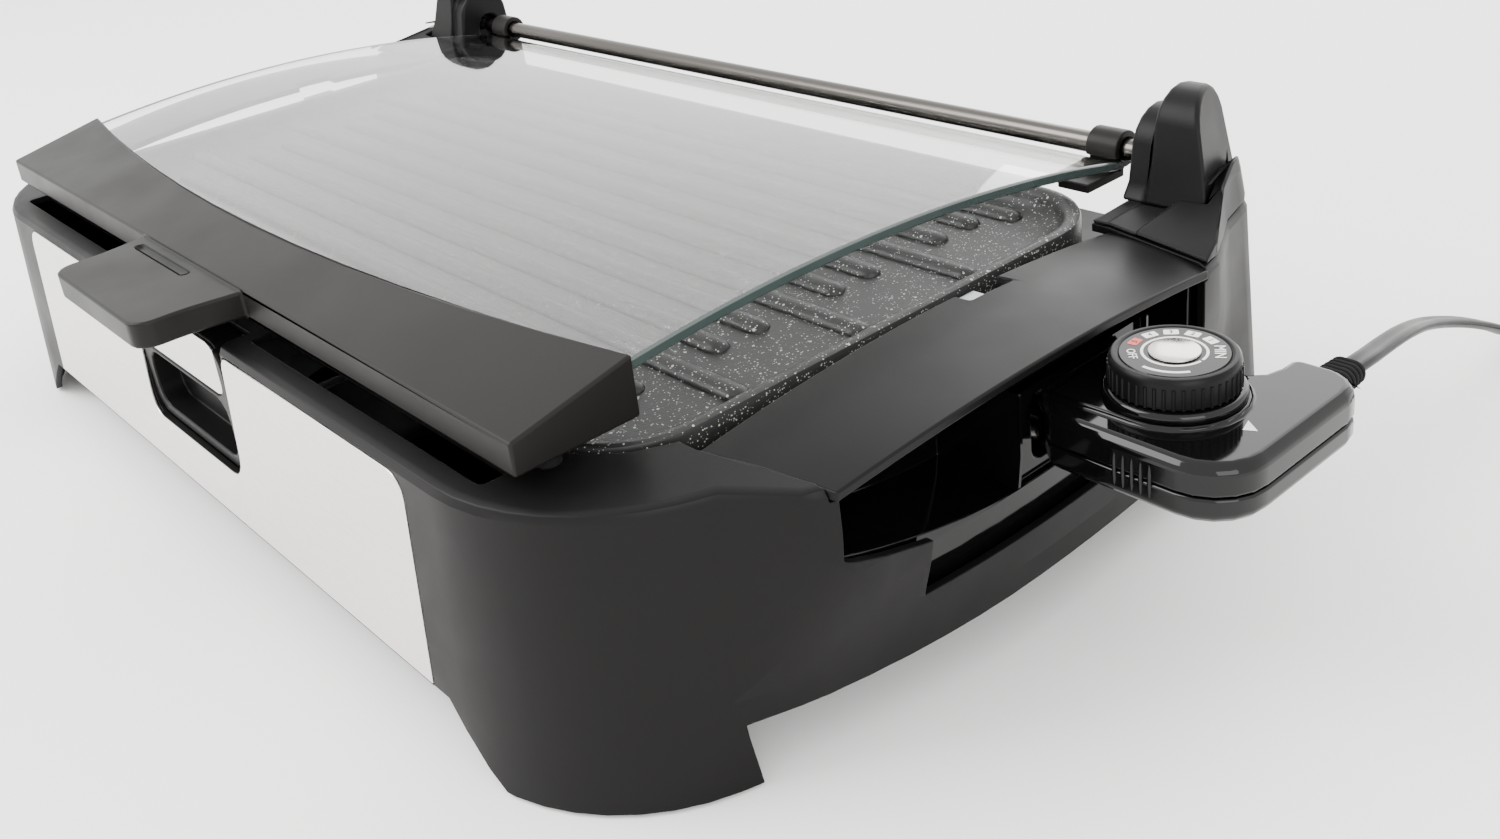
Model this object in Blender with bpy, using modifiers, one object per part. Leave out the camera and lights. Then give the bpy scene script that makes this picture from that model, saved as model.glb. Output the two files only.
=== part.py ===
"""Electric griddle with a hinged glass lid, a drip tray and a plug-in thermostat probe.

Metres, +Z up, X along the length (the probe plugs into the +X end), Y towards the back, Z = 0 on the counter.
The pieces are laid out about the middle of the housing and hang from an empty that puts the origin
under the middle of the whole object.
"""

import math

import bmesh
import bpy
from mathutils import Matrix, Vector

# Driving dimensions ------------------------------------------------------------------------------
ORIGIN = (0.03175, -0.00988)  # middle of the object's box, seen from the middle of the housing
GAP = 0.0003  # between pieces that touch

HALF_DEPTH = 0.158  # front and back walls at the deck
FLARE = 0.0065  # how much further out those walls are at the counter
DECK_Z = 0.100
SKIRT_Z = 0.023  # lower edge of the walls between the legs
LEG_Z = 0.001  # lower edge of the walls at the legs
WALL = 0.003
FRONT_CORNER, FRONT_TURN = 0.072, 72  # radius, and degrees that the corner turns through
REAR_CORNER, REAR_TURN = 0.024, 81
END_X = 0.282  # half-length at the middle of an end, low down
FRONT_SWEEP, REAR_SWEEP = 0.70, 1.80  # the ends are parabolas x = END_X - y^2 / sweep
END_DRAFT = 0.04
WING_X, WING_SWEEP = 0.2895, 2.4  # outer edge of the handles
WING_HALF, WING_FRONT, WING_REAR = 0.087, 0.112, 0.134  # y where a handle is full, and where it has faded
WING_LOW, WING_HIGH = 0.020, 0.078  # heights between which the handle flares out

WELL = (0.2345, 0.126, 0.040)  # half-length, half-depth and corner radius of the opening in the deck
REAR_WALL_Z = 0.074
PLATE = (0.230, 0.121, 0.036)  # half-length, half-depth and corner radius of the griddle plate
PLATE_Y, PLATE_LOW, PLATE_TOP, PLATE_FLOOR = -0.002, 0.084, 0.100, 0.0915
RIB_PITCH, RIB_WIDTH, RIB_HEIGHT = 0.0184, 0.0075, 0.0030
SHORT_RIB, LONG_RIB, END_RIB = 0.187, 0.2085, 0.196  # half-lengths

COVER_X = 0.240  # inner edge of a handle cover
COVER_Y = (0.0968, 0.087)  # half-width at the inner and outer edge
COVER_Z, COVER_ARCH, COVER_THICK = 0.0985, 0.0065, 0.0032
LINER_HALF, LINER_X = 0.0850, 0.247

PORT_Y, PORT_Z = 0.024, 0.0760  # axis of the probe
PIN_APART = 0.021
PIN_RADIUS = 0.0024

NOTCH = (0.045, 0.045, 0.010)  # half-width, lower edge and corner radius of the notch for the tray pull
PANEL_HALF, PANEL_LOW, PANEL_TOP, PANEL_THICK = 0.1768, 0.0238, 0.0960, 0.0010

AXIS_Y, AXIS_Z = 0.1385, 0.1133  # lid hinge
CAP_LOW = 0.1034
RIM_Y = 0.1470  # where the rim beside a hinge cap is highest
RAIL_RADIUS, RAIL_END = 0.0042, 0.2315
GLASS_HALF, GLASS_FRONT, GLASS_REAR = 0.2205, -0.123, 0.1338
GLASS_TOP, GLASS_APEX_Y, GLASS_RADIUS, GLASS_THICK = 0.1283, -0.025, 0.700, 0.0040
BAR_HALF, BAR_FRONT, BAR_LOW, BAR_TOP, BAR_SLOPE = 0.2225, -0.1455, 0.1065, 0.1174, 0.21
BAR_REAR, BAR_FLARE = -0.1185, 0.017  # rear edge at the middle, and how far it comes back at the ends
TAB_HALF, TAB_FRONT = 0.044, -0.1842

KNOB_X, KNOB_RADIUS, KNOB_LOW, KNOB_TOP = 0.315, 0.0192, 0.0938, 0.1035
PROBE_LOW, PROBE_SEAM, PROBE_TOP = 0.0700, 0.0785, 0.0890
EXIT = (0.3405, 0.0830)  # where the cord leaves the tail
EXIT_Y = 0.0658

CORD_RADIUS = 0.0037
COIL = (0.355, 0.322)  # middle of the stored coil
COIL_INNER, COIL_OUTER, COIL_TOP = 0.0366, 0.0520, 0.0150

collection = None
cutters = None
origin = None


# Helpers -----------------------------------------------------------------------------------------
def clear_scene():
    for obj in list(bpy.data.objects):
        bpy.data.objects.remove(obj)


def new_collection(name):
    made = bpy.data.collections.new(name)
    bpy.context.scene.collection.children.link(made)
    return made


def finish(name, color, roughness, metallic=0.0, alpha=1.0):
    """A named material of one Principled BSDF."""
    mat = bpy.data.materials.get(name) or bpy.data.materials.new(name)
    mat.use_nodes = True
    shader = mat.node_tree.nodes["Principled BSDF"]
    shader.inputs["Base Color"].default_value = (*color, 1.0)
    shader.inputs["Roughness"].default_value = roughness
    shader.inputs["Metallic"].default_value = metallic
    shader.inputs["Alpha"].default_value = alpha
    return mat


def black_plastic():
    return finish("satin_black_plastic", (0.022, 0.020, 0.020), 0.45)


def gloss_plastic():
    return finish("gloss_black_plastic", (0.008, 0.008, 0.008), 0.12)


def steel():
    return finish("brushed_steel", (0.78, 0.77, 0.76), 0.30, 1.0)


def plain_metal():
    return finish("zinc_plated_steel", (0.55, 0.55, 0.55), 0.35, 1.0)


def add(name, mesh, mat):
    """A mesh becomes a node of the griddle."""
    obj = bpy.data.objects.new(name, mesh)
    mesh.name = name
    mesh.materials.clear()
    mesh.materials.append(mat)
    collection.objects.link(obj)
    obj.parent = origin
    return obj


def tool(mesh):
    """A mesh becomes a cutter, which isn't part of the griddle."""
    obj = bpy.data.objects.new("cutter", mesh)
    cutters.objects.link(obj)
    obj.parent = origin
    obj.hide_render = True
    obj.display_type = "WIRE"
    return obj


def boolean(obj, mesh, operation="DIFFERENCE"):
    modifier = obj.modifiers.new(operation.lower(), "BOOLEAN")
    modifier.operation = operation
    modifier.object = tool(mesh)
    return obj


def cut(obj, *meshes):
    for mesh in meshes:
        boolean(obj, mesh)
    return obj


def join(obj, *meshes):
    for mesh in meshes:
        boolean(obj, mesh, "UNION")
    return obj


def bevel(obj, width, segments=2, angle=35):
    modifier = obj.modifiers.new("bevel", "BEVEL")
    modifier.width = width
    modifier.segments = segments
    modifier.limit_method = "ANGLE"
    modifier.angle_limit = math.radians(angle)
    return obj


def mesh_of(build):
    """A mesh from a function that fills a bmesh."""
    bm = bmesh.new()
    build(bm)
    bmesh.ops.recalc_face_normals(bm, faces=bm.faces)
    mesh = bpy.data.meshes.new("shape")
    bm.to_mesh(mesh)
    bm.free()
    return mesh


def box(low, high):
    low, high = Vector(low), Vector(high)
    place = Matrix.Translation((low + high) / 2) @ Matrix.Diagonal((*(high - low), 1.0))
    return mesh_of(lambda bm: bmesh.ops.create_cube(bm, size=1.0, matrix=place))


TURN = {
    "X": Matrix.Rotation(math.radians(90), 4, "Y"),
    "Y": Matrix.Rotation(math.radians(90), 4, "X"),
    "Z": Matrix.Identity(4),
}


def rod(centre, radius, length, axis, sides=20, tip_radius=None):
    """A cylinder, or a cone from radius to tip_radius, along an axis."""
    place = Matrix.Translation(centre) @ TURN[axis]
    tip = radius if tip_radius is None else tip_radius
    return mesh_of(
        lambda bm: bmesh.ops.create_cone(
            bm, cap_ends=True, segments=sides, radius1=radius, radius2=tip, depth=length, matrix=place
        )
    )


def mesh_from_curve(curve, matrix=None):
    """The curve's solid as a mesh with its caps welded."""
    obj = bpy.data.objects.new("outline", curve)
    mesh = bpy.data.meshes.new_from_object(obj)
    bpy.data.objects.remove(obj)
    if matrix is not None:
        mesh.transform(matrix)
    bm = bmesh.new()
    bm.from_mesh(mesh)
    bmesh.ops.remove_doubles(bm, verts=bm.verts, dist=1e-6)
    bmesh.ops.recalc_face_normals(bm, faces=bm.faces)
    bm.to_mesh(mesh)
    bm.free()
    return mesh


# Where an outline's own x, y and z point, for an outline that is extruded along each axis.
ALONG = {
    "X": Matrix(((0, 0, 1, 0), (1, 0, 0, 0), (0, 1, 0, 0), (0, 0, 0, 1))),
    "Y": Matrix(((1, 0, 0, 0), (0, 0, -1, 0), (0, 1, 0, 0), (0, 0, 0, 1))),
    "Z": Matrix.Identity(4),
}


def prism(outline, start, end, axis="Z"):
    """A flat outline extruded from start to end along an axis: (y, z) points for X, (x, z) for Y, (x, y) for Z."""
    curve = bpy.data.curves.new("outline", "CURVE")
    curve.dimensions = "2D"
    curve.fill_mode = "BOTH"
    curve.extrude = (end - start) / 2
    spline = curve.splines.new("POLY")
    spline.points.add(len(outline) - 1)
    for point, (u, v) in zip(spline.points, outline):
        point.co = (u, v, 0, 1)
    spline.use_cyclic_u = True
    middle = {"X": ((start + end) / 2, 0, 0), "Y": (0, (start + end) / 2, 0), "Z": (0, 0, (start + end) / 2)}
    return mesh_from_curve(curve, Matrix.Translation(middle[axis]) @ ALONG[axis])


def tube(points, radius, resolution=2):
    """A round bar or wire along a line of points."""
    curve = bpy.data.curves.new("tube", "CURVE")
    curve.dimensions = "3D"
    curve.bevel_depth = radius
    curve.bevel_resolution = resolution
    curve.use_fill_caps = True
    spline = curve.splines.new("POLY")
    spline.points.add(len(points) - 1)
    for point, place in zip(spline.points, points):
        point.co = (*place, 1)
    return mesh_from_curve(curve)


def loft(loops):
    """A closed solid through loops of the same number of points, with its ends capped."""

    def build(bm):
        rows = [[bm.verts.new(p) for p in loop] for loop in loops]
        count = len(rows[0])
        for low, high in zip(rows, rows[1:]):
            for i in range(count):
                j = (i + 1) % count
                bm.faces.new((low[i], low[j], high[j], high[i]))
        bm.faces.new(rows[0])
        bm.faces.new(rows[-1])

    return mesh_of(build)


def turned(profile, centre, sides=32):
    """(radius, height) points turned about the vertical axis through centre."""
    x, y = centre
    angles = [2 * math.pi * i / sides for i in range(sides)]
    return loft([[(x + r * math.cos(a), y + r * math.sin(a), z) for a in angles] for r, z in profile])


def arc(centre, radius, start, end, steps):
    """Points on an arc, between two angles in degrees."""
    angles = [math.radians(start + (end - start) * i / steps) for i in range(steps + 1)]
    return [(centre[0] + radius * math.cos(a), centre[1] + radius * math.sin(a)) for a in angles]


def rounded(low, high, radius, steps=5):
    """A rectangle with round corners, anticlockwise."""
    (x0, y0), (x1, y1) = low, high
    r = radius
    return (
        arc((x1 - r, y0 + r), r, -90, 0, steps)
        + arc((x1 - r, y1 - r), r, 0, 90, steps)
        + arc((x0 + r, y1 - r), r, 90, 180, steps)
        + arc((x0 + r, y0 + r), r, 180, 270, steps)
    )


def inset(loop, distance):
    """A closed anticlockwise loop moved inwards by a distance."""
    moved = []
    for i, point in enumerate(loop):
        before, here, after = Vector(loop[i - 1]), Vector(point), Vector(loop[(i + 1) % len(loop)])
        a, b = (here - before).normalized(), (after - here).normalized()
        normal = Vector((-a.y - b.y, a.x + b.x))
        moved.append(tuple(here + normal * (distance / (1 + a.dot(b)))))
    return moved


def channel(low, high, thick, back):
    """A channel of sheet metal in section: an open side, and a back that is on the left or the right."""
    (x0, z0), (x1, z1) = low, high
    points = [(x0, z0), (x1, z0), (x1, z1), (x0, z1), (x0, z1 - thick), (x1 - thick, z1 - thick),
              (x1 - thick, z0 + thick), (x0, z0 + thick)]
    return [(x0 + x1 - x, z) for x, z in reversed(points)] if back == "left" else points


def smooth(t):
    t = min(1.0, max(0.0, t))
    return t * t * (3 - 2 * t)


def mirrored(points):
    """The same outline on the other side of X = 0, still anticlockwise."""
    return [(-x, y) for x, y in reversed(points)]


def flipped(mesh):
    """A copy of a mesh mirrored to the other end of the griddle."""
    made = mesh.copy()
    made.transform(Matrix.Diagonal((-1, 1, 1, 1)))
    made.flip_normals()
    return made


def with_z(loop, z):
    return [(x, y, z) for x, y in loop]


# Housing -----------------------------------------------------------------------------------------
def side_x(y, z):
    """How far out the end wall is at depth y and height z."""
    sweep, foot = (FRONT_SWEEP, WING_FRONT) if y < 0 else (REAR_SWEEP, WING_REAR)
    low = END_X - y * y / sweep
    high = WING_X - y * y / WING_SWEEP
    spread = smooth((foot - abs(y)) / (foot - WING_HALF))
    rise = smooth((z - WING_LOW) / (WING_HIGH - WING_LOW))
    return low - END_DRAFT * z * (1 - spread) + (high - low) * spread * rise


def front_y(z):
    return -HALF_DEPTH - FLARE * (1 - z / DECK_Z)


def end_corner(z, radius, turn, side):
    """Where a corner's arc meets the end wall, and the arc's centre. side is -1 at the front and 1 at the back."""
    angle = math.radians(turn)
    wall = -front_y(z)
    y = side * (wall - radius * (1 - math.cos(angle)))
    x = side_x(y, z)
    return (x, y), (x - radius * math.sin(angle), side * (wall - radius))


def housing_loop(z, inside=0.0):
    """The wall's outline at a height, moved inwards by inside."""
    (_, y0), front = end_corner(z, FRONT_CORNER, FRONT_TURN, -1)
    (_, y1), rear = end_corner(z, REAR_CORNER, REAR_TURN, 1)
    steps = 18
    right = [(0.0, front_y(z))]
    right += arc(front, FRONT_CORNER, -90, FRONT_TURN - 90, 9)
    side = [y0 + (y1 - y0) * i / steps for i in range(1, steps)]
    right += [(side_x(y, z), y) for y in side]
    right += arc(rear, REAR_CORNER, 90 - REAR_TURN, 90, 6)
    right += [(0.0, -front_y(z))]
    loop = right + mirrored(right[1:-1])
    return with_z(inset(loop, inside) if inside else loop, z)


def notch_outline(grow=0.0, top=0.12):
    half, low, radius = NOTCH
    half, low = half + grow, low - grow
    return rounded((-half, low), (half, top + 0.02), radius, 4)


def panel_outline(grow=0.0):
    """Front panel with its notch, as (x, z) points, anticlockwise."""
    half, low, top = PANEL_HALF + grow, PANEL_LOW - grow, PANEL_TOP + grow
    notch, notch_low, radius = NOTCH
    corner, shoulder = 0.008, 0.005
    notch -= grow
    right = [(half, low)]
    right += arc((half - corner, top - corner), corner, 0, 90, 4)
    right += arc((notch + shoulder, top - shoulder), shoulder, 90, 180, 3)
    right += arc((notch - radius, notch_low + radius), radius, 0, -90, 4)
    return right + mirrored(right)


def lean_back(mesh):
    """Turns an upright sheet at y = 0 to lie along the leaning front wall."""
    angle = math.atan2(FLARE, DECK_Z)
    mesh.transform(Matrix.Translation((0, front_y(0), 0)) @ Matrix.Rotation(-angle, 4, "X"))
    return mesh


def leg_gap(half_at_skirt, half_at_counter):
    """What lies between two legs, which widen downwards, as seen from the front or from an end."""
    foot = half_at_counter + (half_at_counter - half_at_skirt) * 0.5
    low = -SKIRT_Z * 0.5
    return [(-foot, low), (foot, low), (half_at_skirt, SKIRT_Z), (-half_at_skirt, SKIRT_Z)]


def lip_z(y):
    """Lower edge of a handle recess."""
    return 0.0600 + 0.0150 * (y / LINER_HALF) ** 2


def recess_outline(grow=0.0, top=0.125):
    """A handle recess seen from the end, as (y, z) points."""
    half = LINER_HALF + grow
    lower = [(-half + 2 * half * i / 12, lip_z(-half + 2 * half * i / 12) - grow) for i in range(13)]
    return lower + [(half, top), (-half, top)]


def cover_seat():
    """The part of the deck that a handle cover takes, in plan."""
    (a, b), grow = COVER_Y, GAP
    return [(0.228, -a - grow), (COVER_X, -a - grow), (0.32, -b + 0.0074 - grow),
            (0.32, b - 0.0074 + grow), (COVER_X, a + grow), (0.228, a + grow)]


def make_housing():
    heights = [LEG_Z, 0.018, 0.032, 0.045, 0.058, 0.070, 0.081, 0.0965]
    loops = [housing_loop(z) for z in heights]
    loops += [housing_loop(0.0990, 0.0010), housing_loop(DECK_Z, 0.0036)]
    housing = add("housing", loft(loops), black_plastic())
    cavity = [housing_loop(z, WALL) for z in (LEG_Z - 0.002, *heights[1:-1], DECK_Z - WALL)]
    cut(housing, loft(cavity))
    half_x, half_y, radius = WELL
    cut(housing, prism(rounded((-half_x, -half_y), (half_x, half_y), radius), 0.060, 0.110))
    shelf = 0.2325
    join(housing, box((-shelf - WALL, 0.1165, REAR_WALL_Z - WALL), (shelf + WALL, HALF_DEPTH - 0.0005, 0.0985)))
    cut(housing, box((-shelf, 0.100, REAR_WALL_Z), (shelf, 0.200, 0.110)))
    for mesh in (prism(cover_seat(), COVER_Z - COVER_THICK - GAP, 0.110), prism(recess_outline(), 0.2515, 0.300, "X")):
        cut(housing, mesh, flipped(mesh))
    step = box((0.2515, -0.052, 0.0445), (0.300, 0.052, 0.070))
    cut(housing, step, flipped(step))
    cut(housing, prism(leg_gap(0.186, 0.212), -0.2, 0.2, "Y"), prism(leg_gap(0.110, 0.107), -0.32, 0.32, "X"))
    cut(housing, prism(notch_outline(), -0.180, -0.1455, "Y"))
    recess = lean_back(prism(panel_outline(GAP), -0.004, PANEL_THICK, "Y"))
    cut(housing, recess)
    for side in (-1, 1):
        ends = sorted((side * 0.052, side * 0.207))
        cut(housing, prism(rounded((ends[0], -0.1485), (ends[1], -0.1385), 0.002, 2), 0.090, 0.110))
    return housing


def make_front_panel():
    sheet = lean_back(prism(panel_outline(), -GAP, PANEL_THICK - GAP, "Y"))
    return add("front_panel", sheet, steel())


def cover_point(s, t):
    """A point on top of a handle cover: s from -1 to 1 along the griddle's depth, t from 0 to 1 outwards."""
    y = s * (COVER_Y[0] + (COVER_Y[1] - COVER_Y[0]) * t)
    outer = side_x(y, DECK_Z)
    crown = 0.0012 * math.sin(math.pi * t)
    return (COVER_X + (outer - COVER_X) * t, y, COVER_Z + COVER_ARCH * (1 - s * s) + crown)


def cover_mesh():
    along, across = 16, 4

    def build(bm):
        grid = [
            [bm.verts.new(cover_point(-1 + 2 * i / along, j / across)) for j in range(across + 1)]
            for i in range(along + 1)
        ]
        under = [[bm.verts.new(v.co - Vector((0, 0, COVER_THICK))) for v in row] for row in grid]
        for rows in (grid, under):
            for i in range(along):
                for j in range(across):
                    bm.faces.new((rows[i][j], rows[i + 1][j], rows[i + 1][j + 1], rows[i][j + 1]))
        rim = [(i, 0) for i in range(along)] + [(along, j) for j in range(across)]
        rim += [(i, across) for i in range(along, 0, -1)] + [(0, j) for j in range(across, 0, -1)]
        for (a, b), (c, d) in zip(rim, rim[1:] + rim[:1]):
            bm.faces.new((grid[a][b], grid[c][d], under[c][d], under[a][b]))

    return mesh_of(build)


def make_handle_covers():
    for name, flip in (("right_handle_cover", False), ("left_handle_cover", True)):
        mesh = cover_mesh()
        cover = add(name, flipped(mesh) if flip else mesh, black_plastic())
        notch = box((0.230, PORT_Y - 0.0095, 0.090), (0.2468, PORT_Y + 0.0115, 0.110))
        cut(cover, flipped(notch) if flip else notch)


def liner_loop(z, outer_inset):
    """Outline of a handle liner's block at a height, from its back wall to inside the end wall."""
    half, steps = LINER_HALF - GAP, 10
    ys = [-half + 2 * half * i / steps for i in range(steps + 1)]
    outer = [(side_x(y, z) - outer_inset, y) for y in ys]
    return with_z([(LINER_X, -half)] + outer + [(LINER_X, half)], z)


def hand_space(y0, y1):
    """The hollow that fingers go into, between two depths."""
    steps, floors = 6, []
    ys = [y0 + (y1 - y0) * i / steps for i in range(steps + 1)]
    floors = [(y, lip_z(y)) for y in ys]
    return prism(floors + [(y1, 0.120), (y0, 0.120)], LINER_X + WALL, 0.320, "X")


def make_handle_liners():
    for name, flip in (("right_handle_liner", False), ("left_handle_liner", True)):
        heights = (0.0370, 0.048, 0.060, 0.072, 0.0935)
        block = loft([liner_loop(z, WALL + 6 * GAP) for z in heights])
        liner = add(name, flipped(block) if flip else block, gloss_plastic())
        spans = [(-0.0822, 0.0822)] if flip else [(-0.0822, PORT_Y - 0.033), (PORT_Y + 0.033, 0.0822)]
        tools = [hand_space(*span) for span in spans]
        hollow = [liner_loop(z, 2 * WALL + 6 * GAP) for z in (0.030, 0.045, 0.0550)]
        under = [[(x + (WALL if x == LINER_X else 0), y * 0.962, z) for x, y, z in loop] for loop in hollow]
        tools.append(loft(under))
        if not flip:
            port = rounded((PORT_Y - 0.0235, 0.0645), (PORT_Y + 0.0235, 0.0875), 0.004, 3)
            tools.append(prism(port, 0.240, 0.320, "X"))
            tools.append(box((0.2808, PORT_Y - 0.0329, 0.0606), (0.320, PORT_Y + 0.0329, 0.120)))
        cut(liner, *(map(flipped, tools) if flip else tools))


def cap_end_x(y, z):
    """The sloping plane of a hinge cap's outer face."""
    return 0.2690 - 0.316 * (y - 0.112) - 0.200 * (z - CAP_LOW)


def beyond_cap(clear, y0, y1, z0, z1, far):
    """What lies between a cap's outer face, moved out by clear, and x = far."""
    made = []
    for z in (z0, z1):
        near = [(cap_end_x(y, z) + clear, y, z) for y in (y0, y1)]
        edge = [(far, y1, z), (far, y0, z)]
        made.append(near[::-1] + edge[::-1] if far > 0.25 else [(far, y0, z), near[0], near[1], (far, y1, z)])
    return loft(made)


def ramp_cutter():
    """Everything over the block's top, which is level beside the plate and climbs to a rim at the end wall."""
    loops = []
    for x, climb in ((0.195, 0.02), (0.2385, 0.04), (0.2525, 0.16), (0.2665, 0.34), (0.315, 0.40)):
        start = COVER_Y[0] - 0.215 * max(0.0, x - COVER_X) - 0.001
        top = 0.1013 + climb * (RIM_Y - start)
        back = 0.30 * (0.1720 - RIM_Y)
        loops.append([(x, 0.05, 0.1013), (x, start, 0.1013), (x, RIM_Y, top), (x, 0.1720, top - back),
                      (x, 0.1720, 0.1480), (x, 0.05, 0.1480)])
    return loft(loops)


def tower_mesh_parts():
    """The block over a rear corner of the deck, and what is cut from it."""
    low, high = DECK_Z + GAP, 0.1255
    block = loft([housing_loop(low, 0.0004), housing_loop(0.112, 0.0016), housing_loop(high, 0.0040)])
    edge = COVER_Y[0] + 2 * GAP
    front = [(0.20, -0.30), (0.40, -0.30), (0.40, edge - 0.215 * 0.16), (COVER_X, edge), (0.20, edge)]
    keep_out = [
        box((-0.40, -0.30, 0.08), (0.2330, 0.30, 0.15)),
        prism(front, 0.08, 0.15),
        ramp_cutter(),
        beyond_cap(0.0012, 0.1137, 0.1559, 0.1031, 0.152, 0.212),
    ]
    return block, keep_out


def post_and_bore():
    post = box((0.2400, AXIS_Y - 0.0095, DECK_Z + 2 * GAP), (0.2485, AXIS_Y + 0.0095, AXIS_Z + 0.0085))
    return post, rod((0.244, AXIS_Y, AXIS_Z), 0.0033, 0.030, "X")


def evaluated_mesh(obj):
    """A copy of an object's mesh with its modifiers applied."""
    bpy.context.view_layer.update()
    return bpy.data.meshes.new_from_object(obj.evaluated_get(bpy.context.evaluated_depsgraph_get()))


def make_towers():
    block, keep_out = tower_mesh_parts()
    post, bore = post_and_bore()
    tower = add("right_hinge_tower", block, black_plastic())
    join(cut(tower, *keep_out), post)
    cut(tower, bore)
    add("left_hinge_tower", flipped(evaluated_mesh(tower)), black_plastic())


def cap_profile(inside=0.0, reach=0.0):
    """Hinge cap seen from the end, as (y, z) points; reach lowers the top of the part next to the rail."""
    low = CAP_LOW - inside * 2
    crown = arc((0.1365, 0.1280 - reach), 0.0155 - inside, 15, 165, 8)
    return [(0.1145 + inside, low), (0.1545 - inside, low), (0.1530 - inside, 0.1180 - reach)] + crown + [
        (0.1190 + inside, 0.1180 - reach)
    ]


def make_caps():
    for name, flip in (("right_hinge_cap", False), ("left_hinge_cap", True)):
        turn = flipped if flip else (lambda mesh: mesh)
        cap = add(name, turn(prism(cap_profile(), 0.2420, 0.2720, "X")), black_plastic())
        join(cap, turn(prism(cap_profile(0.0, 0.0085), 0.2325, 0.2430, "X")))
        cut(cap, turn(beyond_cap(0.0, 0.100, 0.170, 0.095, 0.155, 0.300)))
        hollow = prism(cap_profile(0.0022, 0.0085), 0.2347, 0.2500, "X")
        mouth = box((0.2300, AXIS_Y - 0.0062, 0.090), (0.2370, AXIS_Y + 0.0062, AXIS_Z))
        cut(cap, turn(hollow), turn(rod((0.2335, AXIS_Y, AXIS_Z), 0.0062, 0.007, "X")), turn(mouth))


# Inside the housing ------------------------------------------------------------------------------
FEET = [(0.222, -0.126), (0.240, 0.132)]


def make_bottom_plate():
    z0, z1 = 0.0300, 0.0325
    loop = housing_loop(z0, WALL + 2 * GAP)
    plate = add("bottom_plate", loft([loop, [(x, y, z1) for x, y, _ in loop]]), black_plastic())
    for sx in (-1, 1):
        for x, y in FEET:
            join(plate, rod((sx * x, y, (0.0045 + 0.031) / 2), 0.0110, 0.031 - 0.0045, "Z", 16))
        for y in (-0.060, 0.085):
            join(plate, rod((sx * 0.150, y, (0.031 + 0.0692) / 2), 0.0050, 0.0692 - 0.031, "Z", 12))
        for i in range(6):
            x = sx * (0.075 + 0.020 * i)
            cut(plate, prism(rounded((x - 0.004, -0.030), (x + 0.004, 0.050), 0.0039, 3), 0.020, 0.040))
    for sx, side in ((-1, "left"), (1, "right")):
        for (x, y), end in zip(FEET, ("front", "rear")):
            pad = rod((sx * x, y, 0.0021), 0.0095, 0.0042, "Z", 20)
            add(f"{side}_{end}_foot_pad", pad, finish("black_rubber", (0.02, 0.02, 0.02), 0.8))


def make_reflector():
    half_x, half_y = 0.2255, 0.1165
    top, floor, thick = 0.0835, 0.0695, 0.0008

    def tub(shrink, lift, high):
        rows = ((floor + lift, 0.016), (floor + 0.003 + lift, 0.013), (high, 0.0085))
        made = []
        for z, i in rows:
            i += shrink
            flat = rounded((-half_x + i, -half_y + i + PLATE_Y), (half_x - i, half_y - i + PLATE_Y), 0.030, 4)
            made.append(with_z(flat, z))
        return made

    flange = rounded((-half_x, -half_y + PLATE_Y), (half_x, half_y + PLATE_Y), 0.034, 4)
    loops = tub(0.0, 0.0, top - thick) + [with_z(flange, top - thick), with_z(flange, top)]
    pan = add("heat_reflector", loft(loops), plain_metal())
    cut(pan, loft(tub(thick, thick, top + 0.001)))
    cut(pan, box((0.200, PORT_Y - 0.0175, floor + 0.0014), (0.240, PORT_Y + 0.0175, 0.090)))
    cut(pan, prism(rounded((-0.020, -0.0945), (0.020, -0.0865), 0.0038, 3), 0.060, 0.075))


def make_griddle_plate():
    half_x, half_y, radius = PLATE
    rows = ((PLATE_LOW, 0.0010), (PLATE_LOW + 0.001, 0.0), (PLATE_TOP - 0.0012, 0.0), (PLATE_TOP, 0.0010))
    outer = rounded((-half_x, -half_y + PLATE_Y), (half_x, half_y + PLATE_Y), radius, 7)
    plate = add("griddle_plate", loft([with_z(inset(outer, i), z) for z, i in rows]),
                finish("granite_nonstick", (0.07, 0.07, 0.07), 0.5))
    bowl = ((PLATE_FLOOR, 0.0150), (PLATE_FLOOR + 0.0014, 0.0105), (PLATE_FLOOR + 0.0048, 0.0072), (PLATE_TOP + 0.001, 0.0050))
    cut(plate, loft([with_z(inset(outer, i), z) for z, i in bowl]))
    for k in range(-6, 7):
        y = PLATE_Y - 0.0015 + RIB_PITCH * k
        half = END_RIB if abs(k) == 6 else LONG_RIB if k % 3 == 0 else SHORT_RIB
        if k == -6:
            y += 0.004
        if k == 6:
            y -= 0.004
        r = RIB_WIDTH / 2
        foot = rounded((-half, y - r), (half, y + r), r - 1e-5, 4)
        rib = [with_z(foot, PLATE_FLOOR - 0.001), with_z(foot, PLATE_FLOOR + RIB_HEIGHT * 0.45),
               with_z(inset(foot, r * 0.45), PLATE_FLOOR + RIB_HEIGHT)]
        join(plate, loft(rib))
    cut(plate, prism(rounded((-0.012, -0.1045), (0.012, -0.0985), 0.0028, 3), 0.080, 0.100))


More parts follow.
